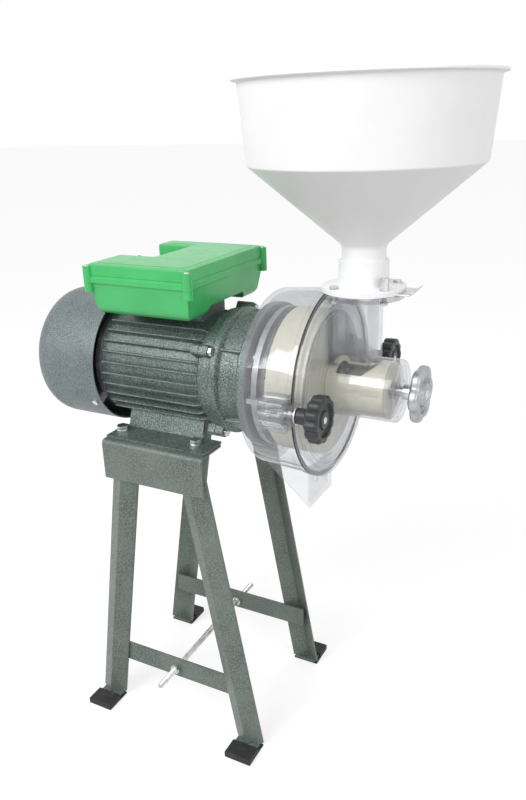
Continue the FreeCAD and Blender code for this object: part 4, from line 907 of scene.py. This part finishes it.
class MILL_OT_box(bpy.types.Operator):
    """Saddle-shaped capacitor box with its stepped lid, corner bosses and screws"""
    bl_idname = "mill.box"
    bl_label = "Capacitor box"

    near = -91.0
    far = 95.0
    notch = 53.0
    notch_near = -22.0
    notch_far = 58.0
    notch_edge = 3.0
    boss = 5.5
    boss_inset = 2.0
    hollow_drop = 3.5

    def plan(self, inset, z, corner):
        "Outline of the box from above at one level, drawn in by an inset."
        back, front = self.back + inset, self.front - inset
        step = self.back + self.notch + inset
        outer = max(corner - inset, 0.9)
        hollow = self.notch_edge + inset
        near, far = self.near + inset, self.far - inset
        notch_near, notch_far = self.notch_near - inset, self.notch_far + inset
        corners = [(back, near, outer), (front, near, outer), (front, far, outer), (back, far, outer),
                   (back, notch_far, self.notch_edge), (step, notch_far, hollow), (step, notch_near, hollow),
                   (back, notch_near, self.notch_edge)]
        return [(a, b, z) for a, b in eased(corners)]

    def execute(self, context):
        corner = context.scene.grain_mill.motor.box_corner / MM
        low, top = span("box_lid", "Z")
        boss, edge = self.boss, self.boss_inset
        back, front = span("box_lid", "X")
        self.back, self.front = back + boss - edge, front - boss + edge
        ceiling = top - self.hollow_drop
        levels = [(ceiling, 8.0), (ceiling - 1, 5.0), (ceiling - 3, 4.2), (low, 4.2), (low, 0.7),
                  (low + 0.7, 0.0), (low + 6.6, 0.0), (low + 7.4, 0.8), (low + 7.4, 1.5), (low + 8.0, 2.1),
                  (low + 9.0, 2.1), (low + 9.6, 1.6), (top - 3.4, 1.7), (top - 1.6, 2.4), (top - 0.7, 4.2),
                  (top - 0.6, 11.0), (top - 0.15, 11.5), (top, 12.3)]
        lid = lofted("lid", [self.plan(inset, z, corner) for z, inset in levels])
        corners = (2, 2, self.front - self.back - 2 * edge, self.far - self.near - 2 * edge,
                   ((self.back + self.front) / 2, (self.near + self.far) / 2, 0))
        post = pin("post", [(low, 0), (low, boss, 0.5), (top - 3.2, boss, 1.2), (top - 3.2, 4.0, 0.3),
                            (top - 4, 3.9, 0.2), (top - 4, 0)], axis="Z", steps=32)
        posts = on_rectangle(post, *corners, "green_plastic")
        dressed(merged("box_lid_skin", [lid, posts]), "green_plastic", "box_lid")
        trimmed("green_plastic", 1.6, "capacitor_box", segments=3)
        screw = pin("screw", [(top - 4, 0), (top - 4, 3.6, 0.2), (top - 2.4, 3.6, 1.4), (top - 1.6, 0)],
                    axis="Z")
        groove = rounded_block("groove", (-4, 4), (-0.55, 0.55), (top - 2.7, top), 0.05)
        screws = on_rectangle(combined(screw, [groove], "DIFFERENCE"), *corners, "zinc_steel")
        dressed(screws, "zinc_steel", "lid_screws", sharp=30)
        trimmed("black_plastic", 0.8, "cord_gland")
        return {"FINISHED"}


class MILL_OT_stand(bpy.types.Operator):
    """Folded rails, splayed legs, braces, tie rod and rubber feet"""
    bl_idname = "mill.stand"
    bl_label = "Stand"

    def execute(self, context):
        edge = context.scene.grain_mill.stand.edge / MM
        trimmed("stand_paint", edge, "rail_near", "rail_far", "leg_near_back", "leg_near_front",
                "leg_far_back", "leg_far_front", "brace_near", "brace_far")
        trimmed("motor_paint", edge, "motor_foot_near", "motor_foot_far")
        trimmed("black_rubber", 1.4, "foot_pads", segments=3)
        trimmed("zinc_steel", 0.5, "tie_rod_nuts", "foot_bolts", sharp=30)
        self.tie_rod()
        return {"FINISHED"}

    def tie_rod(self):
        "Rod with rolled threads towards both ends."
        x, z = middle("tie_rod", "X"), middle("tie_rod", "Z")
        low, high = span("tie_rod", "Y")
        radius, pitch, threads, groove, taper = 4.0, 1.25, 32, 0.6, 1.2
        half = [(low, 0.0), (low, radius - taper), (low + taper, radius - 0.2)]
        for i in range(threads):
            start = low + taper + pitch * i
            half += [(start + pitch * 0.5, radius - groove), (start + pitch, radius)]
        outline = half + [(low + high - along, reach) for along, reach in reversed(half)]
        rod = turned("tie_rod_skin", outline, steps=28)
        rod.data.transform(Matrix.Rotation(radians(90), 4, "Z"))
        moved(rod, (x, 0, z))
        dressed(rod, "zinc_steel", "tie_rod", sharp=60)


class MILL_OT_chamber(bpy.types.Operator):
    """Clear rear chamber with its ribbed knob bosses, and the outlet spout"""
    bl_idname = "mill.chamber"
    bl_label = "Clear chamber"

    wall = 4.0
    bore = 10.5
    back_radius = 107.5
    front_radius = 112.0
    rim_length = 6
    spout_front = 56.0
    spout_half = 35.5
    columns = 9
    column_circle = 15.8
    column_radius = 6.2
    boss_length = 32.0
    stud_hole = 4.4

    def execute(self, context):
        back, front = CHAMBER_BACK, CHAMBER_FRONT
        outer = span("grinding_chamber", "Z")[1] - SHAFT_Z
        rim = front - self.rim_length
        corners = [(back, self.bore, 0.5), (back, self.back_radius, 5.0), (rim, self.front_radius, 0.8),
                   (rim, outer, 0.8), (front, outer, 0.9), (front, self.front_radius - self.wall, 0.8),
                   (back + self.wall, self.back_radius - self.wall, 4.0), (back + self.wall, self.bore, 0.5)]
        drum = turned("drum", corners, SHAFT, steps=160)
        way = rounded_block("way", (back + self.wall, back + self.spout_front - self.wall),
                            (-self.spout_half + self.wall, self.spout_half - self.wall),
                            (span("outlet_spout", "Z")[0], SHAFT_Z - 80), 1.0)
        drum = combined(drum, [way], "DIFFERENCE")
        bosses = []
        start = front - self.boss_length
        for node in KNOBS:
            centre = (0, middle(node, "Y"), SHAFT_Z)
            column = pin("column", [(start, 0), (start, self.column_radius, 3.0),
                                    (front - 2, self.column_radius, 1.2), (front - 2, 0)],
                         (0, 0, self.column_circle))
            bosses.append(round_axis(column, self.columns, centre, "clear_plastic"))
            core = [(start + 2, self.stud_hole, 0.4), (start + 2, 11.0, 2.0), (front - 0.5, 13.0, 0.8),
                    (front - 0.5, self.stud_hole, 0.4)]
            bosses.append(turned("core", core, centre, steps=40))
        dressed(merged("grinding_chamber_skin", [drum] + bosses), "clear_plastic", "grinding_chamber")
        trimmed("clear_plastic", 1.0, "outlet_spout")
        trimmed("black_rubber", 0.3, "cover_gasket")
        return {"FINISHED"}


class MILL_OT_cover(bpy.types.Operator):
    """Clear front cover with its rings, the feed tube and the chute"""
    bl_idname = "mill.cover"
    bl_label = "Front cover and feed"

    bore = 33.4
    tube = 36.9
    tube_wall = 3.2
    tube_groove = 35.9
    end_wall = 8.0
    screw = 6.1
    lobe = 13.0
    stud_hole = 4.1
    way_length = 45
    way_half = 19

    def execute(self, context):
        back = COVER_BACK
        face = back + 4.0
        outer = span("front_cover", "Z")[1] - SHAFT_Z
        corners = [(back, self.bore, 0.3), (back, outer, 0.8), (face, outer, 1.2), (face, 103.3, 0.8),
                   (face + 4, 103.3, 1.2), (face + 4, 97.3, 1.2), (face, 97.3, 0.8), (face, 92.0, 0.6),
                   (face + 2, 92.0, 0.8), (face + 2, 88.0, 0.8), (face, 88.0, 0.6), (face, self.bore, 0.3)]
        cover = turned("cover", corners, SHAFT, steps=160)
        lobe = [(back, self.stud_hole, 0.3), (back, self.lobe, 0.8), (face + 2, self.lobe, 1.0),
                (face + 2, self.stud_hole, 0.3)]
        lobes = [turned("lobe", lobe, (0, middle(node, "Y"), SHAFT_Z), steps=48) for node in KNOBS]
        cover = combined(cover, lobes, "UNION")
        dressed(cover, "clear_plastic", "front_cover")
        end = TUBE_END
        inner = self.tube - self.tube_wall
        groove = end - 12
        corners = [(face, inner, 0.4), (face, self.tube, 0.5), (groove - 1, self.tube, 0.4),
                   (groove, self.tube_groove, 0.4), (groove + 2, self.tube_groove, 0.4),
                   (groove + 3, self.tube, 0.4), (end, self.tube, 2.2), (end, 30.0, 0.8),
                   (end - 2, 29.0, 0.8), (end - 2, 16.0, 0.8), (end, 15.0, 0.8), (end, self.screw, 0.6),
                   (end - self.end_wall, self.screw, 0.4), (end - self.end_wall, inner, 1.0)]
        tube = turned("tube", corners, SHAFT, steps=112)
        way = rounded_block("way", (face + 4, span("feed_chute", "X")[0] + self.way_length),
                            (-self.way_half, self.way_half), (SHAFT_Z + 10, SHAFT_Z + 60), 1.5)
        dressed(combined(tube, [way], "DIFFERENCE"), "clear_plastic", "feed_tube")
        trimmed("clear_plastic", 1.2, "feed_chute", segments=3)
        trimmed("cream_plastic", 0.8, "feed_liner", segments=3)
        trimmed("cream_plastic", 0.8, "disc_carrier")
        return {"FINISHED"}


class MILL_OT_knobs(bpy.types.Operator):
    """Star knobs with their studs and washers"""
    bl_idname = "mill.knobs"
    bl_label = "Star knobs"

    hub = 9.0
    hub_length = 17.0
    grip_start = 18.0
    grip_length = 6.0
    grip_depth = 3.0
    stud = 4.0

    def execute(self, context):
        grips = context.scene.grain_mill.head.knob_grips
        wave = gripped(grips, self.grip_start, self.grip_length, self.grip_depth, abs)
        for side in ("near", "far"):
            node = "star_knob_" + side
            low, high = span(node, "Y")
            rim = (high - low) / 2
            start = span("knob_washer_" + side, "X")[1]
            end = span(node, "X")[1]
            head = start + self.hub_length
            corners = [(start, self.stud), (start, self.hub, 1.0), (head - 2, self.hub, 2.0),
                       (head, 13.0, 2.0), (head, rim, 3.2), (end, rim, 3.6), (end, 19.0, 1.2),
                       (end - 3.2, 18.0, 1.2), (end - 3.2, 10.5, 1.2), (end - 0.6, 9.5, 1.2),
                       (end - 0.6, self.stud)]
            centre = (0, middle(node, "Y"), SHAFT_Z)
            knob = turned("knob", corners, centre, steps=grips * 12, wave=wave, turn=18.0)
            dressed(knob, "black_plastic", node, sharp=45)
            first = span(node, "X")[0]
            stud = pin("stud", [(first, 0), (first, self.stud, 0.8), (end - 0.4, self.stud, 1.0),
                                (end + 0.2, 0)], centre)
            dressed(stud, "zinc_steel", name="knob_stud_" + side, body="knob_" + side)
            trimmed("zinc_steel", 0.3, "knob_washer_" + side)
        return {"FINISHED"}


class MILL_OT_handwheel(bpy.types.Operator):
    """Cast handwheel on its adjusting screw"""
    bl_idname = "mill.handwheel"
    bl_label = "Handwheel"

    radius = 33.2
    screw = 6.0
    grip_start = 20.0
    grip_length = 9.0
    grip_depth = 5.0

    def lobe(self, share):
        "Lobes with soft hollows between them."
        return sqrt(share ** 2 * 0.98 + 0.02)

    def execute(self, context):
        count = context.scene.grain_mill.head.wheel_grips
        wave = gripped(count, self.grip_start, self.grip_length, self.grip_depth, self.lobe)
        back, front = WHEEL_BACK + 3.0, WHEEL_FRONT - 2.0
        corners = [(WHEEL_BACK, self.screw), (WHEEL_BACK, 13.0, 1.2), (back, 13.5, 1.5),
                   (back + 1, self.radius - 6, 4.0), (back + 2, self.radius, 4.5), (front, self.radius, 4.5),
                   (front, 23.0, 2.0), (front - 4, 21.0, 2.0), (front - 4, 15.0, 2.0),
                   (front + 1.6, 12.5, 1.4), (front + 1.6, self.screw)]
        wheel = turned("wheel", corners, SHAFT, steps=count * 24, wave=wave)
        dressed(wheel, "cast_aluminium", "handwheel", sharp=45)
        trimmed("zinc_steel", 0.6, "adjusting_screw")
        return {"FINISHED"}


class MILL_OT_collar(bpy.types.Operator):
    """White hopper collar, its screws and the slide gate"""
    bl_idname = "mill.collar"
    bl_label = "Hopper collar and gate"

    def execute(self, context):
        trimmed("white_plastic", 0.7, "hopper_collar")
        trimmed("zinc_steel", 0.5, "slide_gate")
        trimmed("zinc_steel", 0.5, "collar_screws", sharp=30)
        return {"FINISHED"}


class MILL_OT_inside(bpy.types.Operator):
    """Finishes of the pieces that keep their shape from the frame"""
    bl_idname = "mill.inside"
    bl_label = "Inner pieces"

    def execute(self, context):
        slots = {row["node"]: row["material_slot"] for row in frame["record"]["subparts"]}
        for name, node in frame["nodes"].items():
            if not node.hide_render:
                node.data.materials.clear()
                node.data.materials.append(finish(slots[name]))
        return {"FINISHED"}


class MILL_OT_stage(bpy.types.Operator):
    """Pale floor, soft lamps, white world and the camera"""
    bl_idname = "mill.stage"
    bl_label = "Stage"

    photo_size = (526, 800)
    focal_pixels = 754.68
    sensor = 36.0
    eye = (439.2, -788.4, 810.0)
    azimuth = 28.23
    pitch = 20.76
    roll = -1.904
    white = (1, 1, 1)
    aim = (0, 0, 0.5)

    def seen(self, tree):
        "1 for rays that see the background: from the camera, by reflection or through clear plastic."
        path = tree_node(tree, "ShaderNodeLightPath")
        total = path.outputs["Is Camera Ray"]
        for ray in ("Is Glossy Ray", "Is Transmission Ray"):
            either = tree_node(tree, "ShaderNodeMath", {0: total, 1: path.outputs[ray]},
                               {"operation": "MAXIMUM"})
            total = either.outputs[0]
        return total

    def world(self, strength):
        world = bpy.data.worlds.new("Studio")
        bpy.context.scene.world = world
        world.use_nodes = True
        tree = world.node_tree
        level = tree_node(tree, "ShaderNodeMapRange",
                          {"Value": self.seen(tree), "To Min": strength, "To Max": 1.0})
        back = tree.nodes["Background"]
        back.inputs["Color"].default_value = rgba(self.white)
        tree.links.new(level.outputs[0], back.inputs["Strength"])

    def floor(self, looks):
        half = looks.floor / 2 / MM
        floor = new_piece("floor", [(-half, -half, 0), (half, -half, 0), (half, half, 0), (-half, half, 0)],
                          [(0, 1, 2, 3)])
        pale = bpy.data.materials.new("pale_floor")
        pale.use_nodes = True
        tree = pale.node_tree
        tree.nodes.clear()
        matt = tree_node(tree, "ShaderNodeBsdfDiffuse", {"Color": rgba(self.white, looks.floor_tone)})
        level = tree_node(tree, "ShaderNodeMath", {0: self.seen(tree), 1: looks.glow},
                          {"operation": "MULTIPLY"})
        glow = tree_node(tree, "ShaderNodeEmission",
                         {"Color": rgba(self.white), "Strength": level.outputs[0]})
        both = tree_node(tree, "ShaderNodeAddShader", {0: matt.outputs[0], 1: glow.outputs[0]})
        tree_node(tree, "ShaderNodeOutputMaterial", {"Surface": both.outputs[0]})
        floor.data.materials.append(pale)

    def lamp(self, name, power, side, spot):
        "Square lamp that looks at the middle of the mill; its side and place are in metres."
        data = bpy.data.lights.new(name, "AREA")
        data.shape = "SQUARE"
        data.size = side
        data.energy = power
        lamp = linked(name, data)
        lamp.location = spot
        lamp.rotation_mode = "QUATERNION"
        lamp.rotation_quaternion = (Vector(self.aim) - Vector(spot)).to_track_quat("-Z", "Y")

    def camera(self):
        around, down, roll = (radians(v) for v in (self.azimuth, self.pitch, self.roll))
        right = Vector((cos(around), sin(around), 0))
        level = Vector((-sin(around), cos(around), 0))
        ahead = level * cos(down) - Vector((0, 0, sin(down)))
        up = right.cross(ahead)
        across = right * cos(roll) + up * sin(roll)
        upright = up * cos(roll) - right * sin(roll)
        data = bpy.data.cameras.new("Camera")
        data.sensor_width = self.sensor
        data.lens = self.focal_pixels / max(self.photo_size) * self.sensor
        data.clip_start, data.clip_end = 0.02, 100
        camera = linked("Camera", data)
        turn = Matrix((across, upright, -ahead)).transposed()
        camera.matrix_world = Matrix.Translation(Vector(self.eye) * MM) @ turn.to_4x4()
        bpy.context.scene.camera = camera

    def execute(self, context):
        looks = context.scene.grain_mill.stage
        self.world(looks.sky)
        self.floor(looks)
        self.lamp("Key", looks.key, 1.4, (-0.7, -1.9, 2.0))
        self.lamp("Fill", looks.fill, 1.0, (1.9, -0.9, 1.2))
        self.camera()
        context.scene.view_settings.view_transform = "Standard"
        return {"FINISHED"}


STEPS = (MILL_OT_stage, MILL_OT_stand, MILL_OT_housing, MILL_OT_shield, MILL_OT_cowl, MILL_OT_box,
         MILL_OT_chamber, MILL_OT_cover, MILL_OT_knobs, MILL_OT_handwheel, MILL_OT_collar, MILL_OT_hopper,
         MILL_OT_inside)


class MILL_PT_sidebar(bpy.types.Panel):
    """Steps that dress the grain mill"""
    bl_idname = "MILL_PT_sidebar"
    bl_label = "Grain mill"
    bl_space_type = "VIEW_3D"
    bl_region_type = "UI"
    bl_category = "Grain mill"

    def draw(self, context):
        for step in STEPS:
            self.layout.operator(step.bl_idname)


GROUPS = (StandLooks, MotorLooks, HeadLooks, HopperLooks, StageLooks, MillLooks)
CLASSES = GROUPS + STEPS + (MILL_PT_sidebar,)


def register():
    for cls in CLASSES:
        bpy.utils.register_class(cls)
    bpy.types.Scene.grain_mill = PointerProperty(type=MillLooks)


def unregister():
    del bpy.types.Scene.grain_mill
    for cls in reversed(CLASSES):
        bpy.utils.unregister_class(cls)


def main():
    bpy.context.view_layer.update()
    register()
    for step in STEPS:
        group, name = step.bl_idname.split(".")
        getattr(getattr(bpy.ops, group), name)()


if __name__ == "__main__":
    main()
